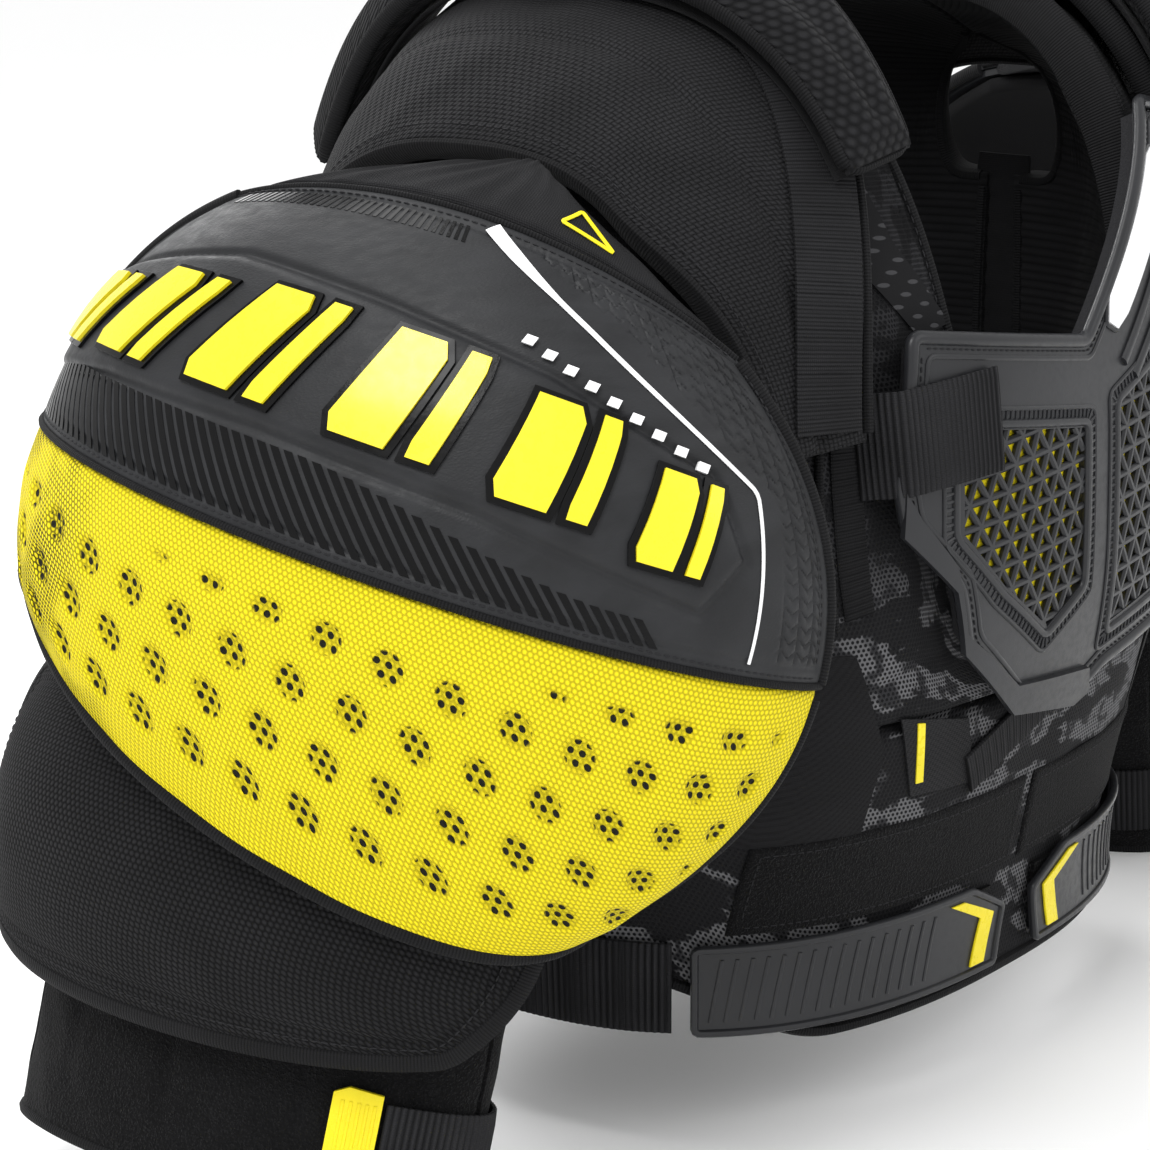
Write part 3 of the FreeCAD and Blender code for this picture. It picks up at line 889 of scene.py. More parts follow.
def vest_panels():
    """Padded chest, belly and back panels with their seams and channels."""
    chest_panel, belly, back = Piece(), Piece(), Piece()

    def seams(u, v):
        x, z = FRONT(u, v)[..., 0], FRONT(u, v)[..., 2]
        upright = np.abs(-112 - 0.13 * (z - 215) - x)
        level = np.abs(z - (118 + 0.28 * (x + 100)))
        return groove(upright, 3.0, 1.2) * (z > 130) + groove(level, 3.0, 1.0) * (x < -60)

    def channels(u, v):
        x, z = BACK(u, v)[..., 0], BACK(u, v)[..., 2]
        level = np.min([np.abs(z - h) for h in BACK_CHANNELS], axis=0)
        return groove(level, 3.2, 2.2) * (np.abs(x) > 62) + groove(np.abs(np.abs(x) - 66), 3.0, 1.8)

    pad(chest_panel, FRONT, between((-SIDE_PHI, -0.004), BELLY_S, front_top), (130, 110),
        PANEL_FACE, PANEL_BACK, wave=0.55, pitch=70, dent=seams)
    place(chest_panel, "chest_panel", "vest", ["dark_mesh"],
          ("chest_cover_{0}", "chest_foam_{0}"))
    pad(belly, FRONT, between((-SIDE_PHI, SIDE_PHI), rim_share, BELLY_S - 0.002), (190, 60),
        PANEL_FACE, PANEL_BACK, wave=0.6, pitch=80)
    place(belly, "belly_panel", "vest", ["dark_mesh"], ("belly_cover", "belly_foam"),
          both=False)
    pad(back, BACK, between((-SIDE_PHI, SIDE_PHI), 0.0, back_top), (230, 150),
        PANEL_FACE, PANEL_BACK, wave=0.5, pitch=85, dent=channels)
    place(back, "back_panel", "vest", ["dark_mesh"], ("back_cover", "back_foam"),
          both=False)


def liners():
    """Brushed jersey inside the vest, ribbed across."""
    for name, side, low, top, node in (("front", FRONT, rim_share, front_top, "front_liner"),
                                       ("back", BACK, 0.0, back_top, "back_liner")):
        piece = Piece()
        u, v = cells(between((-SIDE_PHI, SIDE_PHI), low, top), 150, 100)
        gap = edge_gap(side, u, v)
        z = side(u, v)[..., 2]
        wave = 0.35 * np.sin(z * 2 * np.pi / 9.0)
        share = rounded(gap, 4)
        slab(piece, side, u, v, np.full(u.shape, -13.0), -14.2 + (wave - 0.45) * share)
        place(piece, name + "_lining", "vest", ["jersey"], (node,), both=False)


def vest_edges():
    """Bindings along the neckline, armholes, sides and lower rim, with stitches beside them."""
    front_edges, back_edges = Piece(), Piece()
    for piece, side, top, low in ((front_edges, FRONT, front_top, rim_share),
                                  (back_edges, BACK, back_top, lambda phi: 0.0 * phi)):
        inset = 0.004
        binding(piece, side, edge_path((-PHI_NECK + 0.01, PHI_NECK - 0.01), lambda p: top(p) - inset, 120))
        binding(piece, side, edge_path((-SIDE_PHI + 0.02, SIDE_PHI - 0.02), lambda p: low(p) + inset, 120))
        for s in (-1, 1):
            binding(piece, side, edge_path((s * (PHI_STRAP + 0.02), s * (SIDE_PHI - 0.02)),
                                           lambda p: top(p) - inset, 80))
            at = s * (SIDE_PHI - 0.022)
            high = float(top(np.float64(at)))
            heights = np.linspace(float(low(np.float64(at))) + 0.01, high - 0.01, 60)
            binding(piece, side, np.stack((np.full(60, at), heights), -1))
        points, facing = line(side, edge_path((-PHI_NECK_LOW * 1.25, PHI_NECK_LOW * 1.25),
                                              lambda p: top(p) - 0.032, 120), 0.5, 1.0, 4)
        stitches(piece, points, facing, finish=1)
    place(front_edges, "front_bindings", "vest", ["tape", "thread"], both=False)
    place(back_edges, "back_bindings", "vest", ["tape", "thread"], both=False)


def side_gussets():
    """Stretch jersey that joins the front and back panels below each armhole."""
    gusset = Piece()
    turn, share = np.meshgrid(np.linspace(SIDE_PHI - 0.06, math.pi - SIDE_PHI + 0.06, 24),
                              np.linspace(0.045, 0.70, 90), indexing="ij")
    height = share * VAULT_Z / VAULT_S
    facing = normal(belt, turn, np.minimum(height, 149.0))
    pleat = -11.0 + 0.5 * np.sin(height * 0.9)
    outer, inner = (belt_high(turn, height) + facing * (pleat + off)[..., None] for off in (0.0, -1.2))
    shell(gusset, outer, inner, np.stack((turn * 120, height), -1))
    place(gusset, "side_gusset", "vest", ["smooth_jersey"], sides=FLIPPED)


def belt_high(turn, z):
    """The outside all round, also above the vault line."""
    s = np.where(z <= VAULT_Z, z / VAULT_Z * VAULT_S, VAULT_S + (z - VAULT_Z) / (VAULT_Z / VAULT_S))
    front = FRONT(np.minimum(turn, np.pi / 2), s)
    back = BACK(np.pi - np.maximum(turn, np.pi / 2), s)
    return np.where((turn <= np.pi / 2)[..., None], front, back)


def front_seams():
    """Piping, ribbed tape and a dotted mesh strip that run down the front beside the armhole."""
    piping = Piece()
    run = ((-117, 299), (-124, 268), (-131, 193), (-128, 160), (-124, 138))
    for shift in (0.0, 5.0):
        corners = [(x - shift, z) for x, z in run]
        points, facing = line(chest, corners, 1.4, 1.5, 12)
        sweep(piping, points, facing, 1.5, 1.6, 2.0, 10)
    place(piping, "front_piping", "vest", ["tape"])
    ribbon = Piece()
    corners = [(x + 9.5, z) for x, z in ((-117, 296), (-124, 265), (-131, 200), (-129, 165), (-125, 142))]
    points, facing = line(chest, corners, 0.9, 0.8, 12)
    sweep(ribbon, points, facing, 6.0, 0.8, 6.0, 12, ribs=(2.2, 0.28))
    place(ribbon, "front_tape", "vest", ["tape"])
    strip = Piece()
    outline = [(-112, 292), (-98, 290), (-92, 268), (-74, 240), (-88, 236), (-104, 256), (-112, 275)]
    inlay(strip, chest, outline, (7, 7), 0.2, 1.0)
    place(strip, "dotted_strip", "vest", ["dotted_mesh"])
    panel = Piece()
    outline = [(-158, 136), (-116, 131), (-96, 92), (-97, 56), (-146, 64), (-156, 100)]
    inlay(panel, chest, outline, (8, 8), 0.1, 0.9)
    place(panel, "side_mesh_patch", "vest", ["smooth_jersey"])


def outline_line(outline, inset, off, step=1.5, soft=3.0):
    """Closed line that follows an outline on the chest, moved in from it."""
    return line(chest, shrink(outline, inset), off, step, soft, closed=True)


def shrink(outline, by):
    """The outline moved inwards by a distance; a negative distance grows it."""
    p = np.array(outline, float)
    area = np.sum(p[:, 0] * np.roll(p[:, 1], -1) - np.roll(p[:, 0], -1) * p[:, 1])
    back, ahead = unit(p - np.roll(p, 1, 0)), unit(np.roll(p, -1, 0) - p)
    turn = np.sign(area)
    side_a = np.stack((-back[:, 1], back[:, 0]), -1) * turn
    side_b = np.stack((-ahead[:, 1], ahead[:, 0]), -1) * turn
    mid = unit(side_a + side_b)
    reach = by / np.maximum(np.sum(mid * side_a, -1), 0.4)
    return [tuple(q) for q in p + mid * reach[:, None]]


def front_trim():
    """Loop landing, label, keeper strap and the ribbed elastic of the sternum plate."""
    landing = Piece()
    u, v = cells(lambda a, b: (lerp(-134.0, -3.0, a), lerp(28.0, 62.0, b)), 60, 24)
    gap = edge_gap(chest, u, v)
    slab(landing, chest, u, v, 0.6 + 1.1 * rounded(gap, 2), np.full(u.shape, 0.4))
    place(landing, "loop_landing", "vest", ["fleece"], ("loop_landing_{0}",))
    hems = Piece()
    landing_rim = [(-133, 29), (-4, 29), (-4, 61), (-133, 61)]
    points, facing = line(chest, shrink(landing_rim, 2.2), 1.8, 1.0, 0, closed=True)
    stitches(hems, points, facing, 3.2, 2.2, 0.28)
    place(hems, "landing_stitches", "vest", ["thread"])
    label = Piece()
    inlay(label, chest, [(-92, 104), (-56, 97), (-44, 70), (-78, 72)], (6, 6), 0.3, 1.1)
    inlay(label, chest, [(-84, 101), (-80.5, 100.5), (-74, 77), (-77.5, 77)], (6, 6), 1.1, 1.6, finish=1)
    place(label, "label_patch", "vest", ["fine_weave", "yellow_rubber"],
          ("label_patch",), both=False)
    keeper = Piece()
    points, facing = line(chest, [(-50, 73), (-30, 84), (8, 100)], 1.6, 0.6, 6)
    sweep(keeper, points, facing, 9.0, 0.9, 7.0, 14, ribs=(2.0, 0.2))
    place(keeper, "keeper_strap", "vest", ["webbing"], ("keeper_strap",), both=False)
    band = Piece()
    start = on_front(np.array((-118.0, -66.0)), np.array((205.0, 205.0)))
    phi = np.linspace(start[0][0], start[0][1], 150)
    share = np.full(150, start[1].mean())
    rise = smooth((phi - phi[0]) / (phi[-1] - phi[0]) * 4) * 11.4 + 1.6
    facing = normal(FRONT, phi, share)
    sweep(band, FRONT(phi, share) + facing * rise[:, None], facing, 18.0, 1.05, 8.0, 18, ribs=(2.4, 0.3))
    stretch = ("vest", "sternum", np.array((-116.0, -100.0, 205.0)), np.array((-88.0, -118.0, 205.0)))
    place(band, "sternum_elastic", stretch, ["elastic"], ("sternum_elastic",), both=False)


STERNUM = [(-100, 239), (-9, 226), (74, 297), (96, 293), (107, 250), (110, 188), (90, 156), (84, 130),
           (62, 114), (14, 106), (-5, 97), (-46, 103), (-78, 130), (-84, 152), (-106, 174), (-109, 190)]
WINDOWS = ([(-84, 206), (-12, 196), (-12, 140), (-34, 128), (-62, 148), (-84, 170)],
           [(12, 200), (88, 226), (92, 188), (70, 148), (60, 128), (12, 120)])
BADGE = [(6, 229), (12, 226), (20, 230), (71, 270), (72, 276), (64, 281), (58, 279), (8, 238)]
BAR = [(-107, 188), (-101, 178), (-86, 160), (-80, 136), (-48, 112), (0, 108), (4, 98), (-6, 95),
       (-47, 101), (-80, 129), (-86, 151), (-108, 173)]
LATTICE_PITCH = 8.5


def clip(outline, start, way):
    """Parts of a straight line that lie inside an outline, as distances along it."""
    p = np.array(outline, float)
    across = np.array((-way[1], way[0]))
    d = (p - start) @ across
    e = np.roll(d, -1)
    cut = (d < 0) != (e < 0)
    t = (d / np.where(d == e, 1, d - e))[cut]
    q = np.roll(p, -1, 0)
    hits = np.sort(((p[cut] + (q[cut] - p[cut]) * t[:, None]) - start) @ way)
    return list(zip(hits[::2], hits[1::2]))


def sternum_plate():
    """Moulded plate with a bead rim, a stitched groove, ribbed borders and two lattice windows."""
    dress("sternum_plate", "moulded")
    rim = Piece()
    points, facing = outline_line(STERNUM, 1.2, 10.2)
    sweep(rim, points, facing, 2.6, 2.4, 2.2, 12, closed=True)
    points, facing = outline_line(STERNUM, 7.0, 11.0)
    sweep(rim, points, facing, 1.0, 0.7, 2.0, 8, closed=True)
    for window in WINDOWS:
        points, facing = outline_line(window, -1.6, 10.6)
        sweep(rim, points, facing, 1.8, 1.7, 2.2, 10, closed=True)
        points, facing = outline_line(window, -6.6, 11.0)
        sweep(rim, points, facing, 0.9, 0.8, 2.0, 8, closed=True)
        rib, up = outline_line(window, -4.2, 11.1, 2.6)
        ahead = unit(np.roll(rib, -1, 0) - np.roll(rib, 1, 0))
        side = unit(np.cross(ahead, up))
        for k in range(len(rib)):
            ends = rib[k] + side[k] * np.array((-2.1, -0.7, 0.7, 2.1))[:, None]
            sweep(rim, ends, np.repeat(up[k:k + 1], 4, 0), 0.62, 0.55, 2.0, 6)
    place(rim, "sternum_beads", "sternum", ["moulded"], both=False)
    seam = Piece()
    points, facing = outline_line(STERNUM, 4.6, 11.2, 1.0)
    stitches(seam, points, facing, 3.0, 2.0, 0.35)
    place(seam, "sternum_stitches", "sternum", ["thread"], both=False)
    bar = Piece()
    inlay(bar, chest, BAR, (6, 6), 10.6, 13.2)
    place(bar, "sternum_bar", "sternum", ["moulded"], both=False, bevel=0.8)
    spine = Piece()
    for start, end in (((16, 214), (82, 272)), ((24, 208), (92, 266))):
        points, facing = line(chest, [start, end], 11.2, 1.5)
        sweep(spine, points, facing, np.linspace(2.4, 1.2, len(points)), 1.4, 2.4, 10)
    place(spine, "sternum_ridges", "sternum", ["moulded"], both=False)
    badge = Piece()
    inlay(badge, chest, BADGE, (5, 5), 11.0, 12.6)
    place(badge, "sternum_badge", "sternum", ["white_film"], ("sternum_badge",),
          both=False, bevel=0.4)
    edge = Piece()
    points, facing = outline_line(BADGE, -0.8, 11.2, 1.0, 1.0)
    sweep(edge, points, facing, 0.9, 1.0, 2.0, 8, closed=True)
    place(edge, "badge_rim", "sternum", ["moulded"], both=False)


def sternum_windows():
    """Triangle lattice over yellow foam."""
    lattice, core = Piece(), Piece()
    for window in WINDOWS:
        p = np.array(window, float)
        middle = p.mean(0)
        for turn in (5.0, 65.0, 125.0):
            way = np.array((math.cos(math.radians(turn)), math.sin(math.radians(turn))))
            across = np.array((-way[1], way[0]))
            for k in range(-9, 10):
                start = middle + across * k * LATTICE_PITCH
                for a, b in clip(shrink(window, 0.3), start, way):
                    if b - a < 4:
                        continue
                    points, facing = line(chest, [start + way * a, start + way * b], 9.2, 3.0)
                    sweep(lattice, points, facing, 1.35, 1.5, 3.0, 8)
        inlay(core, chest, shrink(window, -1.5), (7, 7), 6.6, 8.0, finish=1)
    inlay(core, chest, shrink(STERNUM, 4), (9, 9), 1.4, 6.6)
    place(lattice, "sternum_lattice", "sternum", ["moulded"], ("sternum_lattice",), both=False)
    place(core, "sternum_foam", "sternum", ["foam", "yellow_foam"], ("sternum_foam",),
          both=False)


def spine():
    """Moulded back plate on its foam, with ribs and holes for air."""
    dress("spine_plate", "moulded")
    core = Piece()
    pad(core, BACK, between((-0.36, 0.36), 0.10, 0.62), (40, 60), 9.3, 0.5, rim=4)
    place(core, "spine_foam", "vest", ["foam"], ("spine_foam",), both=False)
    ribs = Piece()
    for k, share in enumerate(np.linspace(0.17, 0.56, 8)):
        reach = 0.24 - 0.05 * abs(k - 3.5) / 3.5
        bend = [(-reach, share + 0.02), (0, share - 0.012), (reach, share + 0.02)]
        points, facing = line(BACK, bend, 13.0, 1.5, 5)
        sweep(ribs, points, facing, 3.0, 1.7, 2.2, 10)
    outline = [(-0.285, 0.137), (0.285, 0.137), (0.285, 0.592), (-0.285, 0.592)]
    points, facing = line(BACK, outline, 12.8, 1.5, 6, closed=True)
    sweep(ribs, points, facing, 2.4, 1.8, 2.2, 10, closed=True)
    place(ribs, "spine_ribs", "vest", ["moulded"], both=False)
    yellow = Piece()
    for share in np.linspace(0.20, 0.53, 7):
        for sign in (-1, 1):
            wide, tall = 0.035, 0.008
            at = sign * 0.2
            outline = [(at - wide, share), (at, share + tall), (at + wide, share), (at, share - tall)]
            inlay(yellow, BACK, outline, (0.03, 0.02), 12.9, 13.3)
    place(yellow, "spine_marks", "vest", ["yellow_rubber"], both=False)


def side_straps():
    """Ribbed elastic at the waist, its moulded tab, the tab's hook patch and a yellow tip."""
    web = Piece()
    turn = np.radians(np.linspace(*STRAP_TURN, 260))
    height = np.full(260, STRAP_Z)
    facing = normal(belt, turn, height)
    sweep(web, belt(turn, height) + facing * 2.5, facing, 16.8, 1.2, 8.0, 20, ribs=(2.6, 0.3))
    place(web, "side_strap", "vest", ["elastic"], ("side_strap_{0}",), sides=FLIPPED)
    tab, hook, tip = Piece(), Piece(), Piece()
    low, high = np.radians(TAB_TURN).tolist()
    outline = [(low + 0.05, -7.5), (high, -7.0), (high, 25.0), (low + 0.16, 25.5), (low + 0.02, 14.0)]
    inlay(tab, belt, outline, (0.05, 8), 2.8, 5.2)
    points, facing = line(belt, outline, 4.9, 1.5, 2, closed=True)
    sweep(tab, points, facing, 1.5, 1.5, 2.2, 10, closed=True)
    for k in range(16):
        at = lerp(low + 0.32, high - 0.04, k / 15)
        points, facing = line(belt, [(at, -3.0), (at - 0.03, 21.0)], 5.2, 2.0)
        sweep(tab, points, facing, 0.8, 0.55, 2.0, 8)
    place(tab, "side_tab", "side_tab_{0}", ["moulded"], ("side_tab_{0}",), sides=FLIPPED)
    outline = [(low + 0.10, -5.0), (low + 0.155, -5.0), (low + 0.12, 13.0),
               (low + 0.24, 22.5), (low + 0.19, 22.5), (low + 0.065, 13.5)]
    inlay(tip, belt, outline, (0.04, 8), 5.2, 6.2)
    place(tip, "side_tab_tip", "side_tab_{0}", ["yellow_rubber"], sides=FLIPPED, bevel=0.3)
    u, v = cells(lambda a, b: (lerp(low + 0.05, 0.8, a), lerp(-4.0, 22.0, b)), 60, 12)
    slab(hook, belt, u, v, np.full(u.shape, 2.4), np.full(u.shape, 1.0))
    place(hook, "side_hook", "side_tab_{0}", ["hook_tape"], ("side_hook_{0}",), sides=FLIPPED)


# ---- shoulders ----
def arch(x_in, x_out, angles):
    def region(a, b):
        angle = np.radians(lerp(angles[0], angles[1], b))
        return -lerp(x_out(angle), x_in(angle), a), angle
    return region


def yoke_in(angle):
    return 98.0 + 26 * smooth((np.abs(angle) - 0.5) / 0.8)


def yoke_out(angle):
    return 188.0 - 30 * smooth((np.abs(angle) - 0.6) / 0.8)


def yokes():
    """Ballistic cloth over the shoulder, with a seam, webbing, and bindings and stitches along its edges."""
    body = Piece()

    def dent(u, v):
        return groove(np.abs(u + 150 + 8 * np.cos(v * 2)), 2.6, 1.6) + groove(np.abs(u + 126), 2.2, 1.0)
    pad(body, yoke, arch(yoke_in, yoke_out, (-74, 70)), (70, 170), 0.4, -8.6, rim=5, wave=0.5,
        dent=dent)
    place(body, "yoke", "vest", ["ballistic"], ("yoke_{0}",))
    web = Piece()
    angles = np.radians(np.linspace(-72, -12, 300))
    x = -(yoke_in(angles) + 17)
    facing = normal(yoke, x, angles)
    sweep(web, yoke(x, angles) + facing * 1.3, facing, 12.8, 0.9, 8.0, 16, ribs=(2.0, 0.25))
    place(web, "yoke_webbing", "vest", ["webbing"], ("yoke_webbing_{0}",))
    trim = Piece()
    for x_of, inset in ((yoke_in, 1.0), (yoke_out, -1.0)):
        angles = np.radians(np.linspace(-73, 69, 130))
        x = -(x_of(angles) + inset)
        facing = normal(yoke, x, angles)
        sweep(trim, yoke(x, angles) - facing * 4.2, facing, 2.6, 5.2, 2.4, 12)
    angles = np.radians(np.linspace(-72, 68, 300))
    x = -(yoke_out(angles) - 5.0)
    facing = normal(yoke, x, angles)
    stitches(trim, yoke(x, angles) + facing * 0.7, facing, 3.4, 2.3, 0.3, finish=1)
    place(trim, "yoke_binding", "vest", ["tape", "thread"])


def collars():
    """Thick honeycomb-knit flap beside the neck, turned over at its edges."""
    flap = Piece()

    def region(a, b):
        angle = np.radians(lerp(-50.0, 54.0, b))
        x_in = 91 + 8 * smooth(np.abs(angle) / 0.9)
        x_out = 137 - 14 * smooth(np.abs(angle))
        return -lerp(x_out, x_in, a), angle
    u, v = cells(region, 60, 170, 0.6)
    gap = edge_gap(yoke, u, v)
    share = rounded(gap, 9)
    roll = 3.0 * np.exp(-((gap - 9) / 5) ** 2)
    top = 12.5 + (6.5 + roll) * share
    slab(flap, yoke, u, v, top, 12.5 - 7.4 * share)
    place(flap, "collar_pad", "collar_{0}", ["honeycomb"], ("collar_pad_{0}",))
    lining, edge = Piece(), Piece()
    slab(lining, yoke, u, v, np.full(u.shape, 4.4), 4.4 - 1.8 * rounded(gap, 2))
    place(lining, "collar_liner", "collar_{0}", ["smooth_jersey"], ("collar_liner_{0}",))
    rim = [(u[i, 0], v[i, 0]) for i in range(0, 60)] + [(u[-1, j], v[-1, j]) for j in range(0, 170, 2)] \
        + [(u[i, -1], v[i, -1]) for i in range(59, -1, -1)] + [(u[0, j], v[0, j]) for j in range(169, -1, -2)]
    points, facing = line(yoke, rim, 12.0, 2.0, 6, closed=True)
    sweep(edge, points, facing, 1.6, 3.2, 2.0, 10, closed=True)
    place(edge, "collar_binding", "collar_{0}", ["tape"])


# ---- shoulder caps ----
def cap_line(corners, off=0.0, step=1.5, soft=4.0, closed=False):
    return line(cap, corners, off, step, soft, closed)


POCKET = [(-0.94, 0.56), (-0.5, 0.66), (-0.1, 0.64), (0.3, 0.60), (0.66, 0.50), (0.72, 0.30), (0.62, 0.14),
          (0.46, 0.17), (0.2, 0.22), (-0.2, 0.24), (-0.6, 0.22), (-0.94, 0.16)]


def signed_gap(outline, u, v, scale):
    """Distance to an outline's edge, positive inside, with each parameter scaled to millimetres."""
    p = np.array(outline) * scale
    q = np.stack((u * scale[0], v * scale[1]), -1)
    best, inside = np.full(u.shape, 1e9), np.zeros(u.shape, bool)
    for a, b in zip(p, np.roll(p, -1, 0)):
        ab, aq = b - a, q - a
        t = np.clip((aq @ ab) / (ab @ ab), 0, 1)
        best = np.minimum(best, np.linalg.norm(aq - t[..., None] * ab, axis=-1))
        crosses = (a[1] > q[..., 1]) != (b[1] > q[..., 1])
        at = a[0] + (q[..., 1] - a[1]) / (b[1] - a[1] + 1e-12) * (b[0] - a[0])
        inside ^= crosses & (q[..., 0] < at)
    return np.where(inside, best, -best)


CAP_SCALE = np.array((140.0, 125.0))
TREAD = [(0.16, 0.97), (0.9, 0.93), (0.96, 0.5), (0.97, 0.05), (0.80, 0.05), (0.83, 0.5), (0.5, 0.8)]


def cap_covers():
    """Leather shell of the cap: embossed pocket, trodden edge and seams."""
    cover = Piece()
    u, v = cells(lambda a, b: (lerp(-1.0, 1.0, a), b), 300, 200, 0.35)
    gap = edge_gap(cap, u, v)
    face = -1.2 + 1.2 * rounded(gap, 2.4)
    pocket = signed_gap(POCKET, u, v, CAP_SCALE)
    face = face + 1.5 * smooth((pocket + 2) / 7) - groove(np.abs(pocket), 1.7, 1.3)
    face = face - groove(np.abs(gap - 6), 1.3, 0.6)
    tread = signed_gap(TREAD, u, v, CAP_SCALE)
    along, across = u * CAP_SCALE[0], v * CAP_SCALE[1]
    pitch = 7.0
    shift = np.abs(((along / pitch) % 1) - 0.5) * pitch * 0.9
    bars = np.abs((((across + shift) / 5.0) % 1) - 0.5) * 5.0
    posts = np.abs(((along / pitch) % 1) - 0.5) * pitch
    cut = np.maximum(groove(bars, 0.55, 1.0), groove(posts, 0.5, 1.0))
    face = face - 0.7 * cut * smooth(tread / 3)
    slab(cover, cap, u, v, face, np.full(u.shape, -2.4))
    place(cover, "cap_cover", "cap_{0}", ["leather"], ("cap_cover_{0}",))
    for side in ("right", "left"):
        dress("cap_shell_" + side, "shell")
    lining = Piece()
    pad(lining, cap, lambda a, b: (lerp(-0.95, 0.95, a), lerp(0.02, 0.98, b)), (90, 60), -6.2, -13.4,
        wave=0.4, pitch=50)
    place(lining, "cap_lining", "cap_{0}", ["smooth_jersey"], ("cap_foam_{0}",))


def slanted(p, q, wide, tall, lean):
    """Corners of a slanted bar on the cap, centred at p, q."""
    return [(p - wide - lean, q - tall), (p + wide - lean, q - tall), (p + wide + lean, q + tall),
            (p - wide + lean, q + tall)]


def cap_marks():
    """Plain raised blocks, gloss slashes and a white line on the leather."""
    blocks, rims = Piece(), Piece()
    row = ((-0.81, 0.385, 0.105, 0.12), (-0.545, 0.42, 0.108, 0.135), (-0.255, 0.44, 0.115, 0.145),
           (0.05, 0.435, 0.118, 0.145), (0.335, 0.405, 0.105, 0.135), (0.57, 0.345, 0.080, 0.12))
    for p, q, wide, tall in row:
        lean = 0.035
        for shift, half in ((-0.36 * wide, 0.52 * wide), (0.62 * wide, 0.22 * wide)):
            c = 0.4 * half
            at = p + shift
            shape = [(at - half - lean + c, q - tall), (at + half - lean, q - tall),
                     (at + half + lean * 0.6, q + tall * 0.72), (at + half + lean - c, q + tall),
                     (at - half + lean, q + tall), (at - half - lean * 0.6, q - tall * 0.72)]
            inlay(rims, cap, grow(shape, 0.014), (0.05, 0.05), 1.2, 2.7)
            inlay(blocks, cap, shape, (0.05, 0.05), 2.5, 3.9)
    place(rims, "cap_block_rims", "cap_{0}", ["gloss_dark"], bevel=0.5)
    place(blocks, "cap_blocks", "cap_{0}", ["yellow_film"], bevel=0.6)
    slashes = Piece()
    for k in range(58):
        p = -0.95 + k * 0.0262
        top = 0.215 - 0.12 * smooth(p / 0.5)
        low = 0.035
        if top - low < 0.03:
            continue
        lean = -0.115 * (top - low) / 0.18
        half = 0.0082
        slash = [(p - half, low), (p + half, low), (p + half + lean, top), (p - half + lean, top)]
        inlay(slashes, cap, slash, (0.2, 0.05), 0.0, 0.22)
    for k in range(34):
        p = -0.86 + k * 0.026
        slash = [(p - 0.0065, 0.885), (p + 0.0065, 0.885), (p - 0.008, 0.945), (p - 0.021, 0.945)]
        inlay(slashes, cap, slash, (0.2, 0.05), 0.0, 0.22)
    place(slashes, "cap_slashes", "cap_{0}", ["gloss_dark"])
    white = Piece()
    corners = [(0.06, 0.97), (0.40, 0.76), (0.775, 0.5), (0.76, 0.28), (0.745, 0.04)]
    points, facing = cap_line(corners, 0.35, 2.0, 3)
    taper = np.interp(np.linspace(0, 1, len(points)), (0, 0.08, 0.2, 1), (2.6, 2.2, 0.9, 0.55))
    sweep(white, points, facing, taper, 0.3, 6.0, 8)
    for k in range(9):
        p, q = 0.245 + 0.048 * k, 0.665 - 0.020 * k
        inlay(white, cap, slanted(p, q, 0.013, 0.013, 0.006), (0.05, 0.05), 1.3 - 0.9 * (k > 7), 1.95)
    place(white, "cap_line", "cap_{0}", ["white_film"])


def grow(shape, by):
    """The shape moved outwards, in the cap's own parameters."""
    scaled = [(a * CAP_SCALE[0], b * CAP_SCALE[1]) for a, b in shape]
    return [(a / CAP_SCALE[0], b / CAP_SCALE[1]) for a, b in shrink(scaled, -by * CAP_SCALE[0])]


def cap_edges():
    """Bindings, seam and stitches round the leather, and the woven crown above it."""
    trim = Piece()
    for q in (0.0, 1.0):
        points, facing = cap_line([(p, q) for p in np.linspace(-1, 1, 40)], -0.6 if q else -0.2, 2.0, 3)
        sweep(trim, points, facing, 1.3, 1.5, 2.0, 10)
    for p in (-1.0, 1.0):
        points, facing = cap_line([(p * 0.999, q) for q in np.linspace(0, 1, 30)], -1.6, 2.0, 3)
        sweep(trim, points, facing, 2.6, 3.2, 2.2, 12)
    place(trim, "cap_binding", "cap_{0}", ["tape"])
    seam = Piece()
    for corners in ([(p, 0.045 * 0.55) for p in np.linspace(-0.97, 0.97, 40)],
                    [(p, 0.965) for p in np.linspace(-0.94, 0.94, 40)],
                    [(0.955, q) for q in np.linspace(0.05, 0.95, 30)]):
        points, facing = cap_line(corners, 0.15, 1.0, 2)
        stitches(seam, points, facing, 3.0, 2.1, 0.34)
    place(seam, "cap_stitches", "cap_{0}", ["thread"])
    crown = Piece()

    def region(a, b):
        p = lerp(-0.95, 0.95, a)
        return p, lerp(1.012, 1.012 + 0.42 * (1 - np.abs(p) ** 2.6), b)
    u, v = cells(region, 140, 50)
    gap = edge_gap(cap, u, v)
    share = rounded(gap, 4)
    face = -3.8 + 4.2 * share + 0.5 * ripple(u * 140, v * 100, 45) * share
    slab(crown, cap, u, v, face, -3.8 - 4.0 * share)
    place(crown, "cap_crown", "cap_{0}", ["fine_weave"], ("cap_crown_{0}",))
    mark = Piece()
    points, facing = cap_line([(0.36, 1.10), (0.60, 1.085), (0.55, 1.22)], 1.0, 0.8, 1, closed=True)
    sweep(mark, points, facing, 0.75, 0.4, 2.0, 8, closed=True)
    place(mark, "crown_mark", "cap_{0}", ["yellow_rubber"])


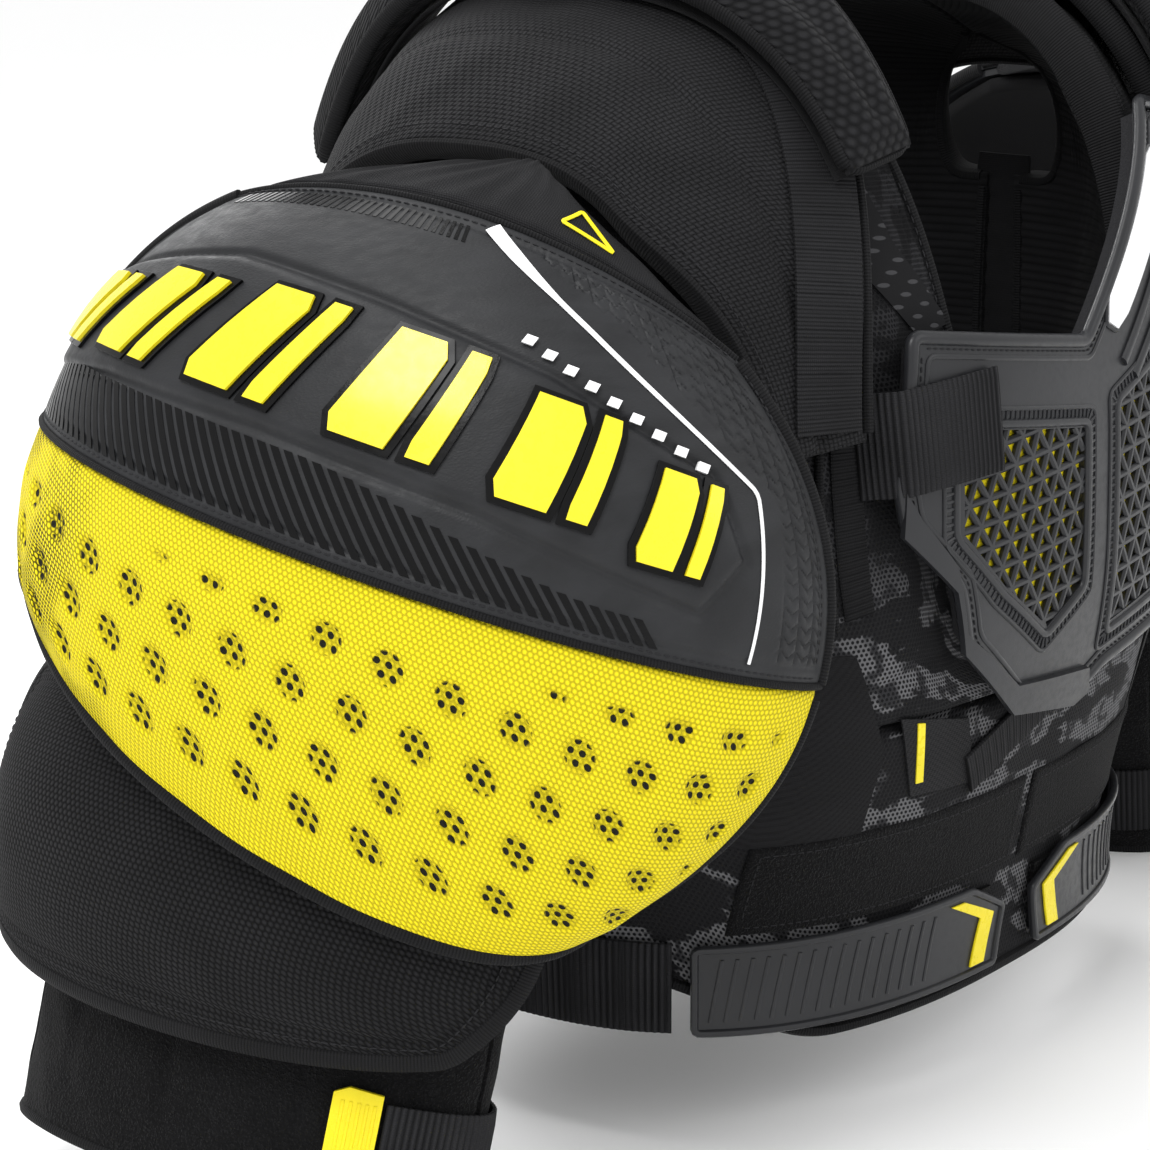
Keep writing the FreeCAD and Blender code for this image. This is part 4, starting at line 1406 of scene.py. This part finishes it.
def hex_gap(x, y, pitch):
    """Distance from the nearest point of a staggered lattice."""
    best = np.full(x.shape, 1e9)
    tall = pitch * 0.866
    for shift in (0, 1):
        dx = ((x / pitch + 0.5 * shift) % 1 - 0.5) * pitch
        dy = ((y / (2 * tall) + 0.5 * shift) % 1 - 0.5) * 2 * tall
        best = np.minimum(best, np.hypot(dx, dy))
    return best


def cap_meshes():
    """Yellow spacer mesh below the cap, with punched dimples, bound along its lower edge."""
    sizes = bpy.context.scene.pad_sizes
    body = Piece()
    u, v = cells(lambda a, b: (lerp(-1.0, 1.0, a), lerp(-1.0, -0.012, b)), 330, 170, 0.35)
    flat = cap(u, v)
    along, across = arc_lengths(flat, 0), arc_lengths(flat, 1)
    along = along - along[len(along) // 2].mean()
    gap = edge_gap(cap, u, v)
    lattice = hex_gap(along + 4, across - 6, sizes.dimple_pitch / MM)
    dimple = np.exp(-(lattice / 5.4) ** 4) * smooth((gap - 12) / 6)
    share = rounded(gap, 4)
    bulge = 1.8 * smooth(gap / 25)
    face = -2.5 + 2.5 * share + bulge - dimple * sizes.dimple_depth / MM
    face = face + 0.35 * ripple(along, across, 70) * share
    slab(body, cap, u, v, face, -2.5 - 2.4 * share, inside=1)
    weave = np.stack((along, across, dimple), -1).reshape(-1, 3)
    body.weave[0][:], body.weave[1][:] = weave, weave * (1, 1, 0)
    blend = ("cap_{0}", "bicep_{0}", np.array((-272.0, 0.0, 150.0)), np.array((-286.0, 0.0, 70.0)))
    place(body, "cap_mesh", blend, ["yellow_mesh", "smooth_jersey"],
          ("cap_mesh_{0}",))
    hem = Piece()
    path = ([(-0.998, q) for q in np.linspace(-0.03, -0.97, 20)]
            + [(p, -0.995) for p in np.linspace(-0.97, 0.97, 50)]
            + [(0.998, q) for q in np.linspace(-0.97, -0.03, 20)])
    points, facing = cap_line(path, -2.6, 2.0, 6)
    sweep(hem, points, facing, 2.8, 3.8, 2.4, 12)
    place(hem, "cap_mesh_hem", blend, ["tape"])


# ---- arms ----
def round_trip(low, high, count):
    """Points round a rectangle between two corners, one side after another."""
    t = np.linspace(0, 1, count, endpoint=False)
    (left, bottom), (right, top) = low, high
    return ([(lerp(left, right, k), bottom) for k in t] + [(right, lerp(bottom, top, k)) for k in t]
            + [(lerp(right, left, k), top) for k in t] + [(left, lerp(top, bottom, k)) for k in t])


def guard_region(a, b, reach=1.0):
    p, q = lerp(-reach, reach, a), lerp(-reach, reach, b)
    turn = lerp(*GUARD_TURN, 0.5 + 0.5 * p * np.sqrt(1 - 0.3 * q * q))
    return turn, GUARD_MID + GUARD_HALF * q * np.sqrt(1 - 0.35 * p * p)


def bicep_guards():
    """Knit-covered guard over a plastic plate, bound all round."""
    cover = Piece()
    u, v = cells(guard_region, 150, 100, 0.5)
    gap = edge_gap(guard, u, v)
    face = -1.5 + 1.6 * rounded(gap, 4) - groove(np.abs(gap - 12), 1.6, 0.7) + 0.3 * ripple(u, v, 60)
    slab(cover, guard, u, v, face, np.full(u.shape, -3.0))
    place(cover, "bicep_cover", "bicep_{0}", ["knit"], ("bicep_cover_{0}",))
    for side in ("right", "left"):
        dress("bicep_plate_" + side, "shell")
    core = Piece()
    pad(core, guard, lambda a, b: guard_region(a, b, 0.93), (80, 60), -6.4, -11.8, rim=4, wave=0.3, pitch=50)
    place(core, "bicep_foam", "bicep_{0}", ["smooth_jersey"], ("bicep_foam_{0}",))
    edge = Piece()
    rim = [guard_region(*corner) for corner in round_trip((0.0, 0.0), (1.0, 1.0), 40)]
    points, facing = line(guard, rim, -1.6, 2.0, 5, closed=True)
    sweep(edge, points, facing, 4.0, 2.9, 2.6, 12, closed=True)
    place(edge, "bicep_binding", "bicep_{0}", ["tape"])
    seam = Piece()
    inner = [guard_region(*corner) for corner in round_trip((0.05, 0.06), (0.95, 0.94), 40)]
    points, facing = line(guard, inner, 0.35, 1.0, 5, closed=True)
    stitches(seam, points, facing, 3.2, 2.2, 0.3)
    place(seam, "bicep_stitches", "bicep_{0}", ["thread"])


def wraps():
    """Brushed loop wrap round the arm, with its strap and yellow pull tab."""
    wrap = Piece()
    u, v = cells(lambda a, b: (lerp(-160.0, 168.0, a), lerp(52.0, 158.0, b)), 190, 60, 0.5)
    gap = edge_gap(sleeve, u, v)

    def slit(turn):
        return groove(np.abs((u - turn) * 1.4), 1.4, 1.6) * smooth((gap - 14) / 6)
    cut = sum(slit(t) for t in (-70, -40, -10, 20, 48, -100, 80, 110))
    share = rounded(gap, 3)
    face = -15.4 + 2.3 * share - cut * 0.9 + 0.35 * ripple(u, v, 40) * share
    slab(wrap, sleeve, u, v, face, -15.4 - 2.4 * share)
    place(wrap, "bicep_wrap", "bicep_{0}", ["fleece"], ("bicep_wrap_{0}",))
    hem = Piece()
    rim = round_trip((-159.0, 52.8), (167.0, 157.2), 60)
    points, facing = line(sleeve, rim, -15.4, 2.5, 5, closed=True)
    sweep(hem, points, facing, 2.4, 3.2, 2.4, 10, closed=True)
    place(hem, "wrap_binding", "bicep_{0}", ["tape"])
    strap = Piece()
    turn = np.linspace(42.0, 150.0, 300)
    down = np.full(300, ARM_STRAP_T)
    facing = normal(sleeve, turn, down)
    sweep(strap, sleeve(turn, down) - facing * 11.4, facing, 14.8, 0.95, 8.0, 16, ribs=(2.4, 0.3))
    place(strap, "bicep_strap", "bicep_strap_{0}", ["elastic"], ("bicep_strap_{0}",))
    tab = Piece()
    outline = [(28.5, 115), (32, 112.5), (40.8, 113.5), (40.8, 146.5), (32, 147.5), (28.5, 145)]
    inlay(tab, sleeve, outline, (3, 5), -11.9, -9.8)
    for k in range(5):
        points, facing = line(sleeve, [(31 + 2.0 * k, 117), (31 + 2.0 * k, 143)], -9.8, 2.0)
        sweep(tab, points, facing, 0.7, 0.45, 2.0, 8)
    place(tab, "bicep_tab", "bicep_strap_{0}", ["yellow_rubber"], ("bicep_tab_{0}",), bevel=0.4)


# ---- stage ----
CAMERA_AIM = Vector((-0.04893, 0.05520, 0.12134))
CAMERA_WAY = (-54.0, 14.0)
CAMERA_DISTANCE, CAMERA_LENS = 1.4, 115.8
LAMP_DISTANCE = 1.8
# each lamp: its name, azimuth and elevation, power and width
LAMPS = (("key", (-75, 48), 15, 0.7), ("fill", (10, 30), 5, 1.0),
         ("top", (-150, 70), 11, 0.8), ("rim", (160, 35), 9, 0.7))
FLOOR_HALF = 6.0


def aim_from(way, distance, holder):
    """Puts a lamp or the camera at a distance from the aim, looking at it."""
    azimuth, elevation = np.radians(way)
    out = Vector((math.sin(azimuth) * math.cos(elevation), -math.cos(azimuth) * math.cos(elevation),
                  math.sin(elevation)))
    holder.location = CAMERA_AIM + out * distance
    holder.rotation_euler = (CAMERA_AIM - holder.location).to_track_quat("-Z", "Y").to_euler()


def stage():
    """Pale floor and backdrop, soft lights and the camera."""
    scene = bpy.context.scene
    scene.view_settings.view_transform = "Standard"
    low = CAD_BOX[0][2]
    floor = bpy.data.meshes.new("floor")
    corners = [(x * FLOOR_HALF, y * FLOOR_HALF, low) for x, y in ((-1, -1), (1, -1), (1, 1), (-1, 1))]
    floor.from_pydata(corners, [], [(0, 1, 2, 3)])
    ground = bpy.data.objects.new("floor", floor)
    scene.collection.objects.link(ground)
    paint = bpy.data.materials.new("floor")
    paint.use_nodes = True
    paint.node_tree.nodes["Principled BSDF"].inputs["Base Color"].default_value = (0.97, 0.97, 0.97, 1)
    paint.node_tree.nodes["Principled BSDF"].inputs["Roughness"].default_value = 0.7
    floor.materials.append(paint)
    world = scene.world or bpy.data.worlds.new("studio")
    scene.world = world
    world.use_nodes = True
    world.node_tree.nodes["Background"].inputs[0].default_value = (1.0, 1.0, 1.0, 1)
    world.node_tree.nodes["Background"].inputs[1].default_value = 1.0
    for name, way, power, width in LAMPS:
        lamp = bpy.data.lights.new(name, "AREA")
        lamp.energy, lamp.size = power, width
        holder = bpy.data.objects.new(name, lamp)
        scene.collection.objects.link(holder)
        aim_from(way, LAMP_DISTANCE, holder)
    camera = bpy.data.cameras.new("camera")
    camera.lens = CAMERA_LENS
    holder = bpy.data.objects.new("camera", camera)
    scene.collection.objects.link(holder)
    aim_from(CAMERA_WAY, CAMERA_DISTANCE, holder)
    scene.camera = holder


# ---- settings, buttons and panel ----
def tint(name, text, value):
    return FloatVectorProperty(name=name, description=text, default=value, subtype="COLOR", size=3,
                               min=0, max=1)


class PadColours(bpy.types.PropertyGroup):
    """Colours of the pads."""
    leather: tint("Leather", "Synthetic leather of the shoulder caps", (0.015, 0.0155, 0.017))
    gloss: tint("Gloss print", "Shiny dark print on the leather", (0.004, 0.004, 0.0045))
    yellow: tint("Yellow", "Mesh, blocks and tabs", (0.80, 0.66, 0.012))
    fabric: tint("Fabric", "Knits, weaves and bindings", (0.0115, 0.0115, 0.0125))
    plastic: tint("Plastic", "Moulded plates and tabs", (0.017, 0.0175, 0.0195))
    white: tint("White", "Badge and printed line", (0.80, 0.80, 0.81))


class PadSizes(bpy.types.PropertyGroup):
    """Sizes of the details."""
    dimple_pitch: FloatProperty(name="Dimple pitch", default=0.021, unit="LENGTH",
                                description="Distance between dimples of the yellow mesh")
    dimple_depth: FloatProperty(name="Dimple depth", default=0.0021, unit="LENGTH",
                                description="Depth of a dimple")


class PADS_OT_vest_panels(bpy.types.Operator):
    """Padded chest, belly and back panels"""
    bl_idname = "pads.vest_panels"
    bl_label = "Vest panels"

    def execute(self, context):
        vest_panels()
        return {"FINISHED"}


class PADS_OT_vest_linings(bpy.types.Operator):
    """Ribbed jersey inside the vest"""
    bl_idname = "pads.vest_linings"
    bl_label = "Vest linings"

    def execute(self, context):
        liners()
        return {"FINISHED"}


class PADS_OT_vest_edges(bpy.types.Operator):
    """Bindings and seams of the vest"""
    bl_idname = "pads.vest_edges"
    bl_label = "Vest edges"

    def execute(self, context):
        vest_edges()
        side_gussets()
        front_seams()
        return {"FINISHED"}


class PADS_OT_front_trim(bpy.types.Operator):
    """Landings, label, keeper and elastic"""
    bl_idname = "pads.front_trim"
    bl_label = "Front trim"

    def execute(self, context):
        front_trim()
        return {"FINISHED"}


class PADS_OT_sternum_plate(bpy.types.Operator):
    """Moulded plate, its lattice and its badge"""
    bl_idname = "pads.sternum_plate"
    bl_label = "Sternum plate"

    def execute(self, context):
        sternum_plate()
        sternum_windows()
        return {"FINISHED"}


class PADS_OT_spine_plate(bpy.types.Operator):
    """Moulded back plate and its foam"""
    bl_idname = "pads.spine_plate"
    bl_label = "Spine plate"

    def execute(self, context):
        spine()
        return {"FINISHED"}


class PADS_OT_side_straps(bpy.types.Operator):
    """Waist elastic and its moulded tabs"""
    bl_idname = "pads.side_straps"
    bl_label = "Side straps"

    def execute(self, context):
        side_straps()
        return {"FINISHED"}


class PADS_OT_yokes(bpy.types.Operator):
    """Ballistic cloth over the shoulders"""
    bl_idname = "pads.yokes"
    bl_label = "Yokes"

    def execute(self, context):
        yokes()
        return {"FINISHED"}


class PADS_OT_collar_flaps(bpy.types.Operator):
    """Padded flaps beside the neck"""
    bl_idname = "pads.collar_flaps"
    bl_label = "Collar flaps"

    def execute(self, context):
        collars()
        return {"FINISHED"}


class PADS_OT_shoulder_caps(bpy.types.Operator):
    """Leather caps with their marks and edges"""
    bl_idname = "pads.shoulder_caps"
    bl_label = "Shoulder caps"

    def execute(self, context):
        cap_covers()
        cap_marks()
        cap_edges()
        return {"FINISHED"}


class PADS_OT_cap_meshes(bpy.types.Operator):
    """Yellow mesh between cap and guard"""
    bl_idname = "pads.cap_meshes"
    bl_label = "Cap meshes"

    def execute(self, context):
        cap_meshes()
        return {"FINISHED"}


class PADS_OT_bicep_guards(bpy.types.Operator):
    """Knit guards with their plates"""
    bl_idname = "pads.bicep_guards"
    bl_label = "Bicep guards"

    def execute(self, context):
        bicep_guards()
        return {"FINISHED"}


class PADS_OT_arm_wraps(bpy.types.Operator):
    """Fleece wraps with straps and tabs"""
    bl_idname = "pads.arm_wraps"
    bl_label = "Arm wraps"

    def execute(self, context):
        wraps()
        return {"FINISHED"}


class PADS_OT_stage(bpy.types.Operator):
    """Floor, lights and camera"""
    bl_idname = "pads.stage"
    bl_label = "Stage"

    def execute(self, context):
        stage()
        return {"FINISHED"}


OPERATORS = (
    PADS_OT_vest_panels, PADS_OT_vest_linings, PADS_OT_vest_edges, PADS_OT_front_trim,
    PADS_OT_sternum_plate, PADS_OT_spine_plate, PADS_OT_side_straps, PADS_OT_yokes,
    PADS_OT_collar_flaps, PADS_OT_shoulder_caps, PADS_OT_cap_meshes, PADS_OT_bicep_guards,
    PADS_OT_arm_wraps, PADS_OT_stage,
)


class PADS_PT_sidebar(bpy.types.Panel):
    """Buttons and settings of the shoulder pads."""
    bl_label = "Shoulder pads"
    bl_space_type = "VIEW_3D"
    bl_region_type = "UI"
    bl_category = "Shoulder pads"

    def draw(self, context):
        for group in (context.scene.pad_colours, context.scene.pad_sizes):
            for name in group.bl_rna.properties.keys():
                if name not in ("rna_type", "name"):
                    self.layout.prop(group, name)
        for operator in OPERATORS:
            self.layout.operator(operator.bl_idname)


CLASSES = (PadColours, PadSizes, *OPERATORS, PADS_PT_sidebar)


def register():
    for cls in CLASSES:
        bpy.utils.register_class(cls)
    bpy.types.Scene.pad_colours = PointerProperty(type=PadColours)
    bpy.types.Scene.pad_sizes = PointerProperty(type=PadSizes)


def unregister():
    del bpy.types.Scene.pad_colours, bpy.types.Scene.pad_sizes
    for cls in reversed(CLASSES):
        bpy.utils.unregister_class(cls)


def main():
    register()
    for operator in OPERATORS:
        getattr(bpy.ops.pads, operator.bl_idname.split(".")[1])()


if __name__ == "__main__":
    main()
